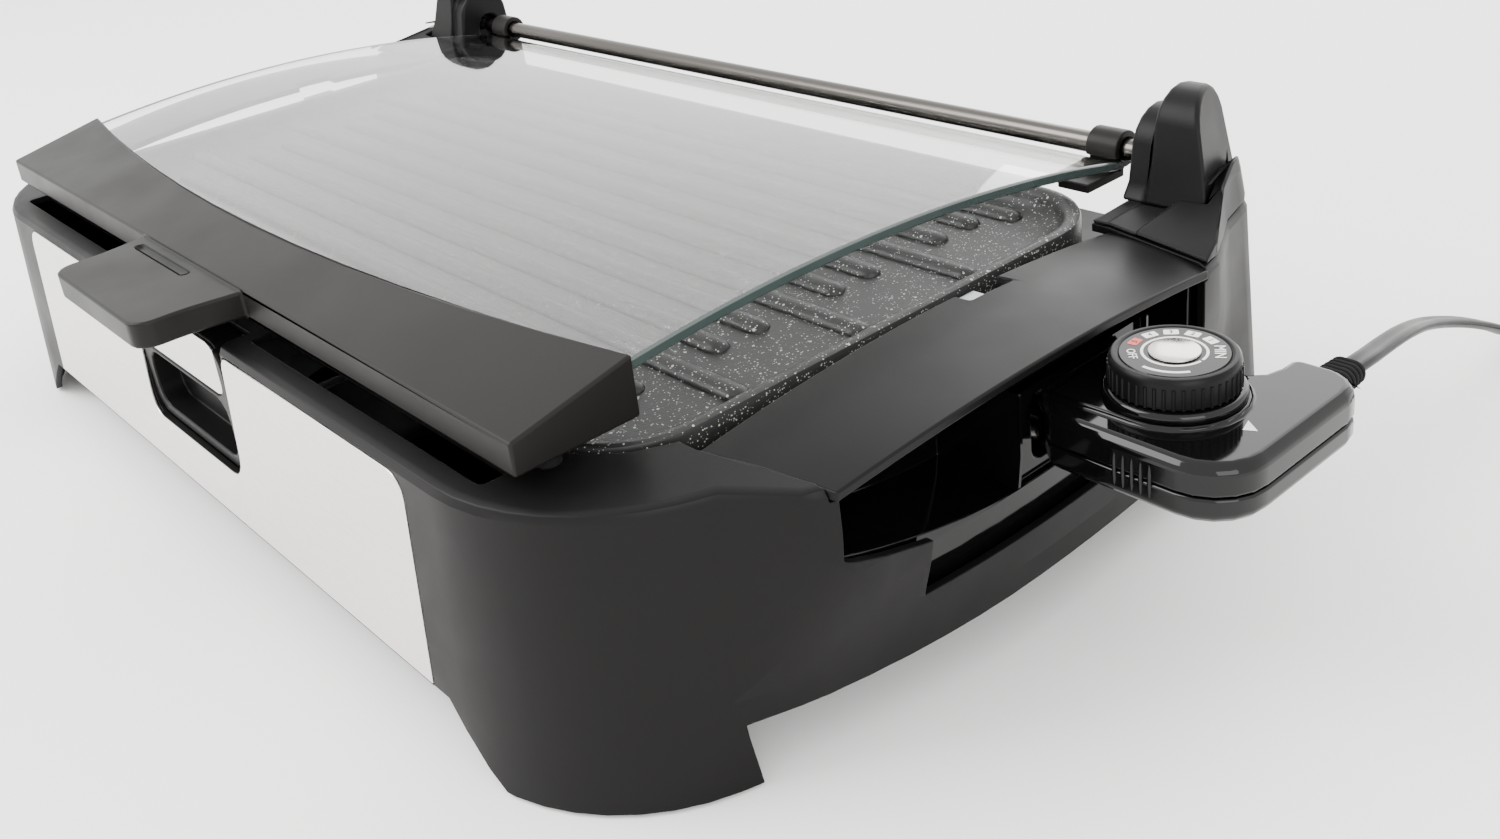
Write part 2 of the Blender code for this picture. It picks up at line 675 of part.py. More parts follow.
def element_path():
    """The sheathed element's loop: in at the port, round under the plate, and out at the port."""
    near, far = PORT_Y - PIN_APART / 2, PORT_Y + PIN_APART / 2
    turn = 0.024
    xs, ys = 0.196, 0.086

    def bend(cx, cy, start, end):
        return [(x, y) for x, y in arc((cx, cy), turn, start, end, 5)]

    path = [(0.2270, near), (0.2150, near)]
    path += [(0.2020, near - 0.002), (0.1965, near - 0.010)]
    path += bend(xs - turn, -ys + turn, 0, -90)
    path += bend(-xs + turn, -ys + turn, -90, -180)
    path += bend(-xs + turn, ys - turn, 180, 90)
    path += bend(xs - turn, ys - turn, 90, 30)
    path += [(0.1965, far + 0.012), (0.2020, far + 0.003)]
    path += [(0.2150, far), (0.2270, far)]
    return [(x, y, PORT_Z + 0.0015 if x < 0.21 else PORT_Z) for x, y in path]


def make_element():
    sheath = finish("element_sheath", (0.12, 0.11, 0.10), 0.5, 0.8)
    add("heating_element", tube(element_path(), 0.0035), sheath)
    for end, sign in (("front", -1), ("rear", 1)):
        y = PORT_Y + sign * PIN_APART / 2
        add(f"{end}_terminal_pin", rod((0.2500, y, PORT_Z), PIN_RADIUS, 0.0450, "X", 16), plain_metal())
    block = add("inlet_block", box((0.2345, PORT_Y - 0.0160, 0.0680), (0.2465, PORT_Y + 0.0160, 0.0835)),
                finish("phenolic", (0.05, 0.035, 0.03), 0.6))
    for offset, radius in ((-PIN_APART / 2, PIN_RADIUS + GAP), (PIN_APART / 2, PIN_RADIUS + GAP), (0.0, 0.0042)):
        cut(block, rod((0.2405, PORT_Y + offset, PORT_Z), radius, 0.030, "X", 20))
    sleeve = add("sensor_sleeve", rod((0.2020, PORT_Y, PORT_Z), 0.0048, 0.0460, "X", 20), plain_metal())
    cut(sleeve, rod((0.2120, PORT_Y, PORT_Z), 0.0036, 0.0600, "X", 20))
    for side, x in (("left", -0.120), ("right", 0.120)):
        hook = channel((-0.0960, 0.0707), (-0.0790, 0.0830), 0.0014, "left")
        add(f"{side}_element_bracket", prism(hook, x - 0.008, x + 0.008, "X"), plain_metal())


def make_tray_rails():
    for side, sx in (("left", -1), ("right", 1)):
        angle = [(0.0375, 0.0328), (0.0490, 0.0328), (0.0490, 0.0345), (0.0390, 0.0345), (0.0390, 0.0640), (0.0375, 0.0640)]
        outline = angle if sx > 0 else mirrored(angle)
        add(f"{side}_tray_rail", prism(outline, -0.140, 0.056, "Y"), plain_metal())


def make_clips():
    """The spring latch at each end that holds the plate down; it slides outwards to let the plate go."""
    for name, flip in (("right_plate_clip", False), ("left_plate_clip", True)):
        turn = flipped if flip else (lambda mesh: mesh)
        y0, y1 = PORT_Y - 0.0075, PORT_Y + 0.0095
        spring = channel((0.2312, 0.0850), (0.2428, 0.0974), 0.0012, "right")
        add(name, turn(prism(spring, y0, y1, "Y")), plain_metal())


# Lid ---------------------------------------------------------------------------------------------
def glass_z(y):
    """Top of the glass at a depth: an arc that is highest near the front."""
    return GLASS_TOP - GLASS_RADIUS + math.sqrt(GLASS_RADIUS**2 - (y - GLASS_APEX_Y) ** 2)


def glass_mesh(front, rear, half, grow=0.0):
    steps = 14
    ys = [front + (rear - front) * i / steps for i in range(steps + 1)]
    top = [(y, glass_z(y) + grow) for y in ys]
    under = [(y, glass_z(y) - GLASS_THICK - grow) for y in reversed(ys)]
    return prism(under + top, -half, half, "X")


def bar_outline():
    steps = 12
    rear = [BAR_HALF - 2 * BAR_HALF * i / steps for i in range(steps + 1)]
    return [(-BAR_HALF, BAR_FRONT), (BAR_HALF, BAR_FRONT)] + [
        (x, BAR_REAR + BAR_FLARE * (x / BAR_HALF) ** 2) for x in rear
    ]


def tab_outline():
    """The grip: S-curved sides and a front edge with round corners."""
    side = [(TAB_HALF + 0.004 * (1 - smooth(i / 5)), -0.1400 - 0.0060 * i) for i in range(6)]
    corner = arc((TAB_HALF - 0.008, TAB_FRONT + 0.008), 0.008, 0, -90, 4)
    right = side + corner
    return mirrored(right) + list(right)


def slope_cutter(front, rear, z_front, slope):
    """Everything above a plane that rises towards the back."""
    far = z_front + slope * (rear - front)
    return prism([(front, z_front), (rear, far), (rear, 0.20), (front, 0.20)], -0.3, 0.3, "X")


def make_lid():
    glass = finish("clear_glass", (0.95, 0.97, 0.96), 0.02, 0.0, 0.3)
    add("lid_glass", glass_mesh(GLASS_FRONT, GLASS_REAR, GLASS_HALF), glass)
    handle = add("lid_handle", prism(bar_outline(), BAR_LOW, 0.135), black_plastic())
    cut(handle, slope_cutter(BAR_FRONT - 0.01, 0.0, BAR_TOP - 0.01 * BAR_SLOPE, BAR_SLOPE))
    tab = prism(tab_outline(), BAR_LOW + 0.0005, 0.1170)
    join(handle, tab)
    cut(handle, glass_mesh(GLASS_FRONT - GAP, 0.0, GLASS_HALF + GAP, GAP))
    cut(handle, prism(rounded((-0.0380, -0.1532), (0.0110, -0.1498), 0.0008, 1), 0.1161, 0.130))
    cut(handle, box((-0.2000, -0.1400, 0.100), (0.2000, -0.1300, 0.1130)))
    rail = add("lid_rear_rail", rod((0, AXIS_Y, AXIS_Z), RAIL_RADIUS, 2 * RAIL_END, "X", 24), steel())
    for side, sx in (("left", -1), ("right", 1)):
        cut(rail, rod((sx * (RAIL_END - 0.004), AXIS_Y, AXIS_Z), 0.0030, 0.0210, "X", 20))
        pin = rod((sx * 0.2340, AXIS_Y, AXIS_Z), 0.0027, 0.0290, "X", 16)
        add(f"{side}_hinge_pin", pin, plain_metal())
        low, high = sorted((sx * 0.2050, sx * 0.2190))
        arm = add(f"{side}_lid_arm", rod((sx * 0.2120, AXIS_Y, AXIS_Z), 0.0072, 0.0140, "X", 20), black_plastic())
        foot_z = glass_z(0.118) - GLASS_THICK - 2 * GAP
        join(arm, box((low, 0.1140, foot_z - 0.0060), (high, AXIS_Y - 0.002, foot_z - 0.0024)))
        cut(arm, glass_mesh(0.05, GLASS_REAR + GAP, 0.3, GAP))
        cut(arm, rod((sx * 0.2120, AXIS_Y, AXIS_Z), RAIL_RADIUS + GAP, 0.030, "X", 24))
        bumper = rod((sx * 0.2130, -0.1290, 0.1033), 0.0040, 0.0058, "Z", 16)
        add(f"{side}_lid_bumper", bumper, finish("black_rubber", (0.02, 0.02, 0.02), 0.8))


# Drip tray ---------------------------------------------------------------------------------------
def make_tray():
    tray = add("drip_tray", box((-0.0362, -0.1457, 0.0465), (0.0362, 0.0500, 0.0660)), plain_metal())
    cut(tray, box((-0.0350, -0.1445, 0.0477), (0.0350, 0.0488, 0.0800)))
    half, low, radius = NOTCH
    outline = rounded((-half + 0.0006, low + 0.0006), (half - 0.0006, 0.0985), radius, 4)
    front = add("tray_front", prism(outline, -0.1590, -0.1464, "Y"), gloss_plastic())
    cut(front, prism(rounded((-0.0385, 0.0500), (0.0385, 0.0745), 0.008, 3), -0.180, -0.1490, "Y"))
    face = rounded((-0.0390, 0.0765), (0.0390, 0.0980), 0.006, 3)
    cut(front, prism(rounded((-0.0393, 0.0762), (0.0393, 0.110), 0.006, 3), -0.180, -0.1573, "Y"))
    add("tray_face", prism(face, -0.1585, -0.1576, "Y"), steel())


# Thermostat probe --------------------------------------------------------------------------------
def probe_outline():
    """The probe's body in plan: a block at the port with a tail that turns back to the cord."""
    x0, x1 = 0.2815, 0.3530
    front, back = -0.0070, PORT_Y + 0.0230
    nose = arc((x1 - 0.0180, front + 0.0180), 0.0180, -90, 0, 5)
    tail = [(x1, 0.0530), (0.3520, 0.0585), (0.3493, 0.0627), (0.3450, EXIT_Y - 0.0006), (0.3420, EXIT_Y),
            (0.3325, EXIT_Y), (0.3300, EXIT_Y - 0.0010), (0.3285, 0.0625), (0.3284, 0.0570), (0.3268, 0.0518),
            (0.3230, 0.0480), (0.3180, back)]
    return [(x0, back), (x0, front + 0.0095), (x0 + 0.0120, front)] + nose + tail


def platform_outline(radius, near):
    """The raised pad under the knob: round on the outer side, and square towards the port."""
    round_side = arc((KNOB_X, PORT_Y), radius, -90, 90, 12)
    return [(near, PORT_Y + radius), (near, PORT_Y - radius)] + round_side


def make_relief():
    """The ribbed sleeve that carries the cord out of the tail, with a neck that sits in the shells."""
    x, z = EXIT
    sections = ((EXIT_Y - 0.0045, 0.0048, 0.0030, 0.0), (EXIT_Y + GAP, 0.0048, 0.0030, 0.0),
                (EXIT_Y + 2 * GAP, 0.0062, 0.0043, 0.0), (EXIT_Y + 0.0135, 0.0053, 0.0038, -0.0006))
    loops = []
    for y, half, high, shift in sections:
        flat = rounded((-half, -high), (half, high), high * 0.95, 3)
        loops.append([(x + shift + a, y, z + shift + b) for a, b in reversed(flat)])
    return add("strain_relief", loft(loops), gloss_plastic())


def make_probe():
    outline = probe_outline()
    inner = inset(outline, 0.0022)
    middle = GAP / 2
    lower = [with_z(inset(outline, i), z) for z, i in ((PROBE_LOW, 0.0020), (PROBE_LOW + 0.0025, 0.0), (PROBE_SEAM - middle, 0.0))]
    upper = [with_z(inset(outline, i), z) for z, i in ((PROBE_SEAM + middle, 0.0), (PROBE_TOP - 0.0028, 0.0), (PROBE_TOP, 0.0021))]
    x, z = EXIT
    mouth = prism(rounded((x - 0.0051, z - 0.0033), (x + 0.0051, z + 0.0033), 0.0030, 3), EXIT_Y - 0.0060, EXIT_Y + 0.0040, "Y")
    shells = []
    for name, loops, low, high in (
        ("probe_lower_shell", lower, PROBE_LOW + 0.0022, PROBE_SEAM + 0.01),
        ("probe_upper_shell", upper, PROBE_SEAM - 0.01, PROBE_TOP - 0.0024),
    ):
        shell = add(name, loft(loops), gloss_plastic())
        cut(shell, loft([with_z(inner, low), with_z(inner, high)]))
        for offset, radius in ((-PIN_APART / 2, 0.0038), (PIN_APART / 2, 0.0038), (0.0, 0.0033)):
            cut(shell, rod((0.2840, PORT_Y + offset, PORT_Z), radius, 0.0100, "X", 20))
        cut(shell, mouth)
        shells.append(shell)
    join(shells[1], prism(platform_outline(0.0218, 0.2830), PROBE_TOP - 0.0010, PROBE_TOP + 0.0012))
    cut(shells[1], rod((KNOB_X, PORT_Y, PROBE_TOP), 0.0033, 0.010, "Z", 20))
    add("sensor_rod", rod((0.2390, PORT_Y, PORT_Z), 0.0029, 0.1020, "X", 16), steel())
    for end, sign in (("front", -1), ("rear", 1)):
        y = PORT_Y + sign * PIN_APART / 2
        sleeve = add(f"{end}_contact_sleeve", rod((0.2745, y, PORT_Z), 0.0034, 0.0350, "X", 20),
                     finish("brass", (0.7, 0.5, 0.2), 0.3, 1.0))
        cut(sleeve, rod((0.2620, y, PORT_Z), PIN_RADIUS + GAP, 0.0340, "X", 20))
    frame = channel((0.2990, 0.0728), (0.3300, 0.0792), 0.0010, "right")
    add("thermostat_frame", prism(frame, PORT_Y - 0.0120, PORT_Y + 0.0120, "Y"), plain_metal())
    seat = PROBE_TOP + 0.0012
    bezel = turned([(0.0208, seat + GAP), (0.0206, seat + 0.0022), (0.0198, seat + 0.0032)], (KNOB_X, PORT_Y))
    ring = add("knob_bezel", bezel, gloss_plastic())
    cut(ring, rod((KNOB_X, PORT_Y, PROBE_TOP), 0.0036, 0.020, "Z", 24))
    make_relief()
    make_knob()


def make_knob():
    centre = (KNOB_X, PORT_Y)
    r = KNOB_RADIUS
    body = turned([(r - 0.0006, KNOB_LOW), (r, KNOB_LOW + 0.0008), (r, KNOB_TOP - 0.0016), (r - 0.0012, KNOB_TOP - 0.0002),
                   (r - 0.0025, KNOB_TOP)], centre, 40)
    knob = add("knob", body, gloss_plastic())
    cut(knob, rod((*centre, KNOB_TOP), r - 0.0030, 0.0012, "Z", 40), rod((*centre, 0.0960), 0.0033, 0.0060, "Z", 20))
    dial = add("knob_dial", rod((*centre, KNOB_TOP - 0.0001), r - 0.0033, 0.0004, "Z", 40), gloss_plastic())
    cut(dial, rod((*centre, KNOB_TOP), 0.0083, 0.0040, "Z", 32))
    cap = turned([(0.0079, KNOB_TOP - 0.0003), (0.0079, KNOB_TOP + 0.0003), (0.0070, KNOB_TOP + 0.0008)], centre, 32)
    add("knob_cap", cap, steel())
    add("knob_spindle", rod((*centre, 0.0893), 0.0028, 0.0168, "Z", 16), plain_metal())


# Cord --------------------------------------------------------------------------------------------
# From the strain relief back and down to the counter, where the coil takes it.
ROUTE = [
    (0.3397, 0.0800, 0.0822), (0.3388, 0.0920, 0.0808), (0.3360, 0.1090, 0.0775), (0.3318, 0.1290, 0.0720),
    (0.3264, 0.1530, 0.0636), (0.3215, 0.1790, 0.0530), (0.3176, 0.2090, 0.0398), (0.3150, 0.2370, 0.0262),
    (0.3132, 0.2590, 0.0145), (0.3112, 0.2760, 0.0075),
]


def spline_points(route, step):
    """Points about step apart on a smooth curve through a route's points."""
    made = []
    for i in range(len(route) - 1):
        a, b = Vector(route[max(i - 1, 0)]), Vector(route[i])
        c, d = Vector(route[i + 1]), Vector(route[min(i + 2, len(route) - 1)])
        count = max(1, round((c - b).length / step))
        for k in range(count):
            t = k / count
            made.append(0.5 * ((2 * b) + (c - a) * t + (2 * a - 5 * b + 4 * c - d) * t**2
                               + (3 * b - a - 3 * c + d) * t**3))
    return made + [Vector(route[-1])]


def ring(inner, outer, low, high, centre, sides=40):
    def build(bm):
        angles = [2 * math.pi * i / sides for i in range(sides)]
        rows = [[bm.verts.new((centre[0] + r * math.cos(a), centre[1] + r * math.sin(a), z)) for a in angles]
                for r, z in ((inner, low), (outer, low), (outer, high), (inner, high))]
        for row, after in zip(rows, rows[1:] + rows[:1]):
            for i in range(sides):
                j = (i + 1) % sides
                bm.faces.new((row[i], row[j], after[j], after[i]))

    return mesh_of(build)


PLUG_START = (0.4245, 0.3130)
PLUG_TURN = 0  # degrees from pointing to the front


def make_cord():
    rubber = finish("cord_pvc", (0.02, 0.02, 0.02), 0.5)
    add("cord", tube(spline_points(ROUTE, 0.015), CORD_RADIUS), rubber)
    add("cord_coil", ring(COIL_INNER, COIL_OUTER, GAP, COIL_TOP, COIL), rubber)
    place = Matrix.Translation((*PLUG_START, 0.0083)) @ Matrix.Rotation(math.radians(-PLUG_TURN), 4, "Z")
    sections = ((0.0, 0.0042, 0.0040), (0.016, 0.0052, 0.0048), (0.020, 0.0100, 0.0072), (0.036, 0.0118, 0.0078),
                (0.050, 0.0118, 0.0078))
    loops = [[(x, -d, z) for x, z in rounded((-w, -h), (w, h), min(w, h) * 0.7, 3)] for d, w, h in sections]
    body = loft(loops)
    body.transform(place)
    plug = add("plug", body, rubber)
    plug_gap = 0.0505
    for side, sx in (("left", -1), ("right", 1)):
        x = sx * 0.00635
        blade = box((x - 0.0008, -plug_gap - 0.0160, -0.0032), (x + 0.0008, -plug_gap, 0.0032))
        blade.transform(place)
        add(f"{side}_plug_blade", blade, finish("brass", (0.7, 0.5, 0.2), 0.3, 1.0))
    return plug


# -------------------------------------------------------------------------------------------------
def shade():
    for obj in collection.objects:
        if obj.type == "MESH":
            obj.data.shade_smooth()
            obj.data.set_sharp_from_angle(angle=math.radians(35))


def main():
    global collection, cutters, origin
    clear_scene()
    collection = new_collection("electric_griddle")
    cutters = new_collection("cutters")
    origin = bpy.data.objects.new("griddle_origin", None)
    collection.objects.link(origin)
    origin.location = (-ORIGIN[0], -ORIGIN[1], 0.0)
    make_housing()
    make_front_panel()
    make_handle_covers()
    make_handle_liners()
    make_towers()
    make_caps()
    make_bottom_plate()
    make_reflector()
    make_griddle_plate()
    make_element()
    make_tray_rails()
    make_clips()
    make_lid()
    make_tray()
    make_probe()
    make_cord()
    shade()


main()
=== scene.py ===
"""Looks of an electric griddle with a glass lid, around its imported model. Metres, in the model's own frame."""

import math

import bmesh
import bpy
from mathutils import Euler, Matrix, Vector


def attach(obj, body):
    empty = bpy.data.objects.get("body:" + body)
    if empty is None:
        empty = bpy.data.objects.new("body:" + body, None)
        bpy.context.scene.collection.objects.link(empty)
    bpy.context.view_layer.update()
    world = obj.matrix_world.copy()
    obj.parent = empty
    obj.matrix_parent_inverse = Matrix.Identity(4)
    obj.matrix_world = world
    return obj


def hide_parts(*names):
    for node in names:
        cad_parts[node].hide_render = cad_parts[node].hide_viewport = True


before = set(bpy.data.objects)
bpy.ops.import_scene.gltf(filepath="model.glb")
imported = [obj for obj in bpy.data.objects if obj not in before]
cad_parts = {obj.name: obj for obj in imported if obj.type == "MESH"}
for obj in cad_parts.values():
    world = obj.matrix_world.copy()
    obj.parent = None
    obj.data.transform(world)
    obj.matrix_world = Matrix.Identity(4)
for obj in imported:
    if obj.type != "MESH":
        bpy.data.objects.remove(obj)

bl_info = {
    "name": "Electric griddle",
    "version": (1, 0, 0),
    "blender": (4, 5, 0),
    "location": "3D View > Sidebar > Griddle",
    "description": "Makes an electric griddle with a glass lid, piece by piece",
    "category": "Object",
}

MM = 0.001
MIDDLE = Vector((0.03175, -0.00988, 0.0))  # the frame's origin, from the middle of the housing

KNOB = Vector((0.315, 0.024, 0.1035))  # middle of the knob's top
KNOB_RADIUS = 0.0192
PAD_TOP = 0.0902  # top of the raised pad under the knob
CORD_EXIT = (0.3405, 0.0658, 0.0830)  # where the cord leaves the probe's tail
HINGE_Y, HINGE_Z = 0.1385, 0.1133

CORD_THICK = 0.0037
COIL = Vector((0.355, 0.322, 0.0))  # middle of the coil, on the counter
# From the strain relief back and down to the counter, and along it to the coil.
ROUTE = [
    (0.3397, 0.0800, 0.0822), (0.3388, 0.0920, 0.0808), (0.3360, 0.1090, 0.0775), (0.3318, 0.1290, 0.0720),
    (0.3264, 0.1530, 0.0636), (0.3215, 0.1790, 0.0530), (0.3176, 0.2090, 0.0398), (0.3150, 0.2370, 0.0262),
    (0.3132, 0.2590, 0.0145), (0.3112, 0.2760, 0.0075), (0.3088, 0.2940, 0.0044), (0.3074, 0.3090, 0.0040),
]
# From the coil to the plug.
TAIL = [(0.3960, 0.3490, 0.0095), (0.4090, 0.3410, 0.0066), (0.4190, 0.3310, 0.0062), (0.4240, 0.3215, 0.0076),
        (0.4245, 0.3140, 0.0083)]


# Colours and settings ----------------------------------------------------------------------------
def hex_color(code):
    """An sRGB hex value as the linear colour that shaders take."""
    values = (int(code[i:i + 2], 16) / 255 for i in (1, 3, 5))
    return tuple(v / 12.92 if v <= 0.04045 else ((v + 0.055) / 1.055) ** 2.4 for v in values)


def colour(name, code, description):
    return bpy.props.FloatVectorProperty(
        name=name, description=description, subtype="COLOR", size=3, min=0, max=1, default=hex_color(code)
    )


class GriddleColours(bpy.types.PropertyGroup):
    housing: colour("Housing", "#0d0c0c", "Moulded ABS of the housing and hinge towers")
    grip: colour("Lid grip", "#161514", "Moulded bar and grip of the lid")
    gloss: colour("Gloss parts", "#060606", "Polished ABS of the probe and of the handle recesses")
    plate: colour("Plate", "#232423", "Ground of the plate's granite coating")
    speck: colour("Specks", "#a3a4a0", "Light specks in the plate's coating")
    steel: colour("Steel", "#e4e1de", "Brushed stainless steel")
    cord: colour("Cord", "#141414", "PVC jacket of the cord")
    floor: colour("Floor", "#f4f3f2", "Floor of the stage")


class GriddleSizes(bpy.types.PropertyGroup):
    rib_width: bpy.props.FloatProperty(
        name="Rib width", description="Width of the round bar that a rib of the plate is the top of",
        default=0.0100, min=0.002, unit="LENGTH")
    rib_height: bpy.props.FloatProperty(
        name="Rib height", description="Half-height of that bar, whose middle is just under the plate's floor",
        default=0.0037, min=0.001, unit="LENGTH")
    rib_pitch: bpy.props.FloatProperty(
        name="Rib pitch", description="Distance between ribs", default=0.0184, min=0.008, unit="LENGTH")
    knurls: bpy.props.IntProperty(
        name="Knob ridges", description="Number of ridges round the knob", default=44, min=8)
    edge: bpy.props.FloatProperty(
        name="Edge radius", description="Rounding of the moulded edges", default=0.0009, min=0.0002, unit="LENGTH")


# Node trees --------------------------------------------------------------------------------------
def add_node(tree, kind, inputs=None, **settings):
    """Adds a node, with its settings, and its inputs set to values or linked to sockets or nodes."""
    made = tree.nodes.new(kind)
    for name, value in settings.items():
        setattr(made, name, value)
    for name, value in (inputs or {}).items():
        if isinstance(value, bpy.types.Node):
            value = value.outputs[0]
        if isinstance(value, bpy.types.NodeSocket):
            tree.links.new(value, made.inputs[name])
        else:
            made.inputs[name].default_value = value
    return made


def start_material(name, base, roughness, **sockets):
    """A material with one Principled shader, whose constant sockets are set straight on it."""
    made = bpy.data.materials.new(name)
    made.use_nodes = True
    shader = made.node_tree.nodes["Principled BSDF"]
    shader.inputs["Base Color"].default_value = (*base, 1.0)
    shader.inputs["Roughness"].default_value = roughness
    for socket, value in sockets.items():
        shader.inputs[socket.replace("_", " ")].default_value = value
    made.diffuse_color = (*base, 1.0)
    return made, made.node_tree, shader


def coordinates(tree, scale):
    where = add_node(tree, "ShaderNodeTexCoord")
    return add_node(tree, "ShaderNodeMapping", {"Vector": where.outputs["Object"], "Scale": scale}).outputs[0]


def finish_surface(tree, shader, tone, rough, grain_mm, depth_mm):
    """Slow changes of tone and roughness over a moulding, and the fine grain of its mould."""
    base = tuple(shader.inputs["Base Color"].default_value)
    middle = shader.inputs["Roughness"].default_value
    slow = add_node(tree, "ShaderNodeTexNoise",
                    {"Vector": coordinates(tree, (28, 28, 28)), "Scale": 1.0, "Detail": 4.0})
    lighter = tuple(min(1, c * (1 + tone)) for c in base[:3]) + (1,)
    darker = tuple(c * (1 - tone) for c in base[:3]) + (1,)
    mixed = add_node(tree, "ShaderNodeMix", {0: slow.outputs[0], 6: darker, 7: lighter}, data_type="RGBA")
    tree.links.new(mixed.outputs[2], shader.inputs["Base Color"])
    ranged = add_node(tree, "ShaderNodeMapRange", {"Value": slow.outputs[0], "From Min": 0.3, "From Max": 0.7,
                                                   "To Min": middle * (1 - rough), "To Max": middle * (1 + rough)})
    tree.links.new(ranged.outputs[0], shader.inputs["Roughness"])
    scale = 1 / (grain_mm * MM)
    fine = add_node(tree, "ShaderNodeTexNoise",
                    {"Vector": coordinates(tree, (scale, scale, scale)), "Scale": 1.0, "Detail": 2.0})
    bump = add_node(tree, "ShaderNodeBump", {"Height": fine.outputs[0], "Strength": 1.0, "Distance": depth_mm * MM})
    tree.links.new(bump.outputs[0], shader.inputs["Normal"])


def satin_abs(name, base, roughness=0.42, grain_mm=0.9, depth_mm=0.018):
    """ABS from a spark-eroded mould: a fine even grain that breaks up the highlights. Real grain is about
    0.2 mm, and it is drawn coarser so that it shows."""
    made, tree, shader = start_material(name, base, roughness, IOR=1.52, Specular_IOR_Level=0.10)
    finish_surface(tree, shader, 0.12, 0.14, grain_mm, depth_mm)
    return made


def gloss_abs(name, base):
    """ABS from a polished mould: sharp reflections that ripple a little where the wall sank as it cooled."""
    made, tree, shader = start_material(name, base, 0.08, IOR=1.54, Specular_IOR_Level=0.22)
    finish_surface(tree, shader, 0.06, 0.45, 14.0, 0.05)
    return made


def brushed_stainless(name, base, roughness=0.30, line=(40.0, 0.45, 0.45)):
    """Stainless sheet brushed with a belt: fine lines, whose mean length and width in mm are given per axis."""
    made, tree, shader = start_material(name, base, roughness, Metallic=1.0)
    scale = tuple(1 / (size * MM) for size in line)
    lines = add_node(tree, "ShaderNodeTexNoise", {"Vector": coordinates(tree, scale), "Scale": 1.0, "Detail": 3.0})
    ranged = add_node(tree, "ShaderNodeMapRange", {"Value": lines.outputs[0], "From Min": 0.3, "From Max": 0.7,
                                                   "To Min": roughness * 0.8, "To Max": roughness * 1.25})
    tree.links.new(ranged.outputs[0], shader.inputs["Roughness"])
    dark = tuple(c * 0.90 for c in base) + (1,)
    mixed = add_node(tree, "ShaderNodeMix", {0: lines.outputs[0], 6: dark, 7: (*base, 1)}, data_type="RGBA")
    tree.links.new(mixed.outputs[2], shader.inputs["Base Color"])
    bump = add_node(tree, "ShaderNodeBump", {"Height": lines.outputs[0], "Strength": 0.6, "Distance": 0.012 * MM})
    tree.links.new(bump.outputs[0], shader.inputs["Normal"])
    return made


def granite_coating(name, base, speck):
    """Sprayed PTFE coating with mineral flakes on cast aluminium: a dark, faintly rough film with light specks
    of two sizes, and a soft orange peel."""
    made, tree, shader = start_material(name, base, 0.38, IOR=1.45, Specular_IOR_Level=0.28)
    colour_socket = (*base, 1)
    for spacing_mm, share, reach in ((0.8, 0.60, 0.40), (1.7, 0.80, 0.34)):
        scale = 1 / (spacing_mm * MM)
        cells = add_node(tree, "ShaderNodeTexVoronoi", {"Vector": coordinates(tree, (scale,) * 3), "Scale": 1.0})
        pick = add_node(tree, "ShaderNodeSeparateColor", {0: cells.outputs["Color"]})
        chosen = add_node(tree, "ShaderNodeMath", {0: pick.outputs[0], 1: share}, operation="GREATER_THAN")
        size = add_node(tree, "ShaderNodeMath", {0: pick.outputs[1], 1: reach}, operation="MULTIPLY")
        near = add_node(tree, "ShaderNodeMath", {0: cells.outputs["Distance"], 1: size}, operation="LESS_THAN")
        mask = add_node(tree, "ShaderNodeMath", {0: chosen, 1: near}, operation="MULTIPLY")
        mixed = add_node(tree, "ShaderNodeMix", {0: mask, 6: colour_socket, 7: (*speck, 1)}, data_type="RGBA")
        colour_socket = mixed.outputs[2]
    tree.links.new(colour_socket, shader.inputs["Base Color"])
    peel = add_node(tree, "ShaderNodeTexNoise",
                    {"Vector": coordinates(tree, (700, 700, 700)), "Scale": 1.0, "Detail": 3.0})
    bump = add_node(tree, "ShaderNodeBump", {"Height": peel.outputs[0], "Strength": 1.0, "Distance": 0.08 * MM})
    tree.links.new(bump.outputs[0], shader.inputs["Normal"])
    return made


def tempered_glass(name):
    """Clear soda-lime sheet, bent and tempered: colourless through the face, and green-grey at the cut edge."""
    made, tree, shader = start_material(name, hex_color("#fbfdfc"), 0.0, IOR=1.42, Transmission_Weight=1.0)
    ripple = add_node(tree, "ShaderNodeTexNoise", {"Vector": coordinates(tree, (9, 9, 9)), "Scale": 1.0, "Detail": 1.0})
    bump = add_node(tree, "ShaderNodeBump", {"Height": ripple.outputs[0], "Strength": 0.3, "Distance": 0.15 * MM})
    tree.links.new(bump.outputs[0], shader.inputs["Normal"])
    return made


def glass_edge(name):
    """The ground edge of the lid's glass, which looks along the sheet and so shows its green-grey body."""
    made, tree, shader = start_material(name, hex_color("#2f3a38"), 0.22, IOR=1.52, Coat_Weight=0.6)
    finish_surface(tree, shader, 0.2, 0.3, 1.2, 0.02)
    return made


def plain_surface(name, code, roughness, grain_mm=0.8, depth_mm=0.01, tone=0.1, **sockets):
    """A surface with only a slight unevenness of its own."""
    made, tree, shader = start_material(name, hex_color(code), roughness, **sockets)
    finish_surface(tree, shader, tone, 0.2, grain_mm, depth_mm)
    return made


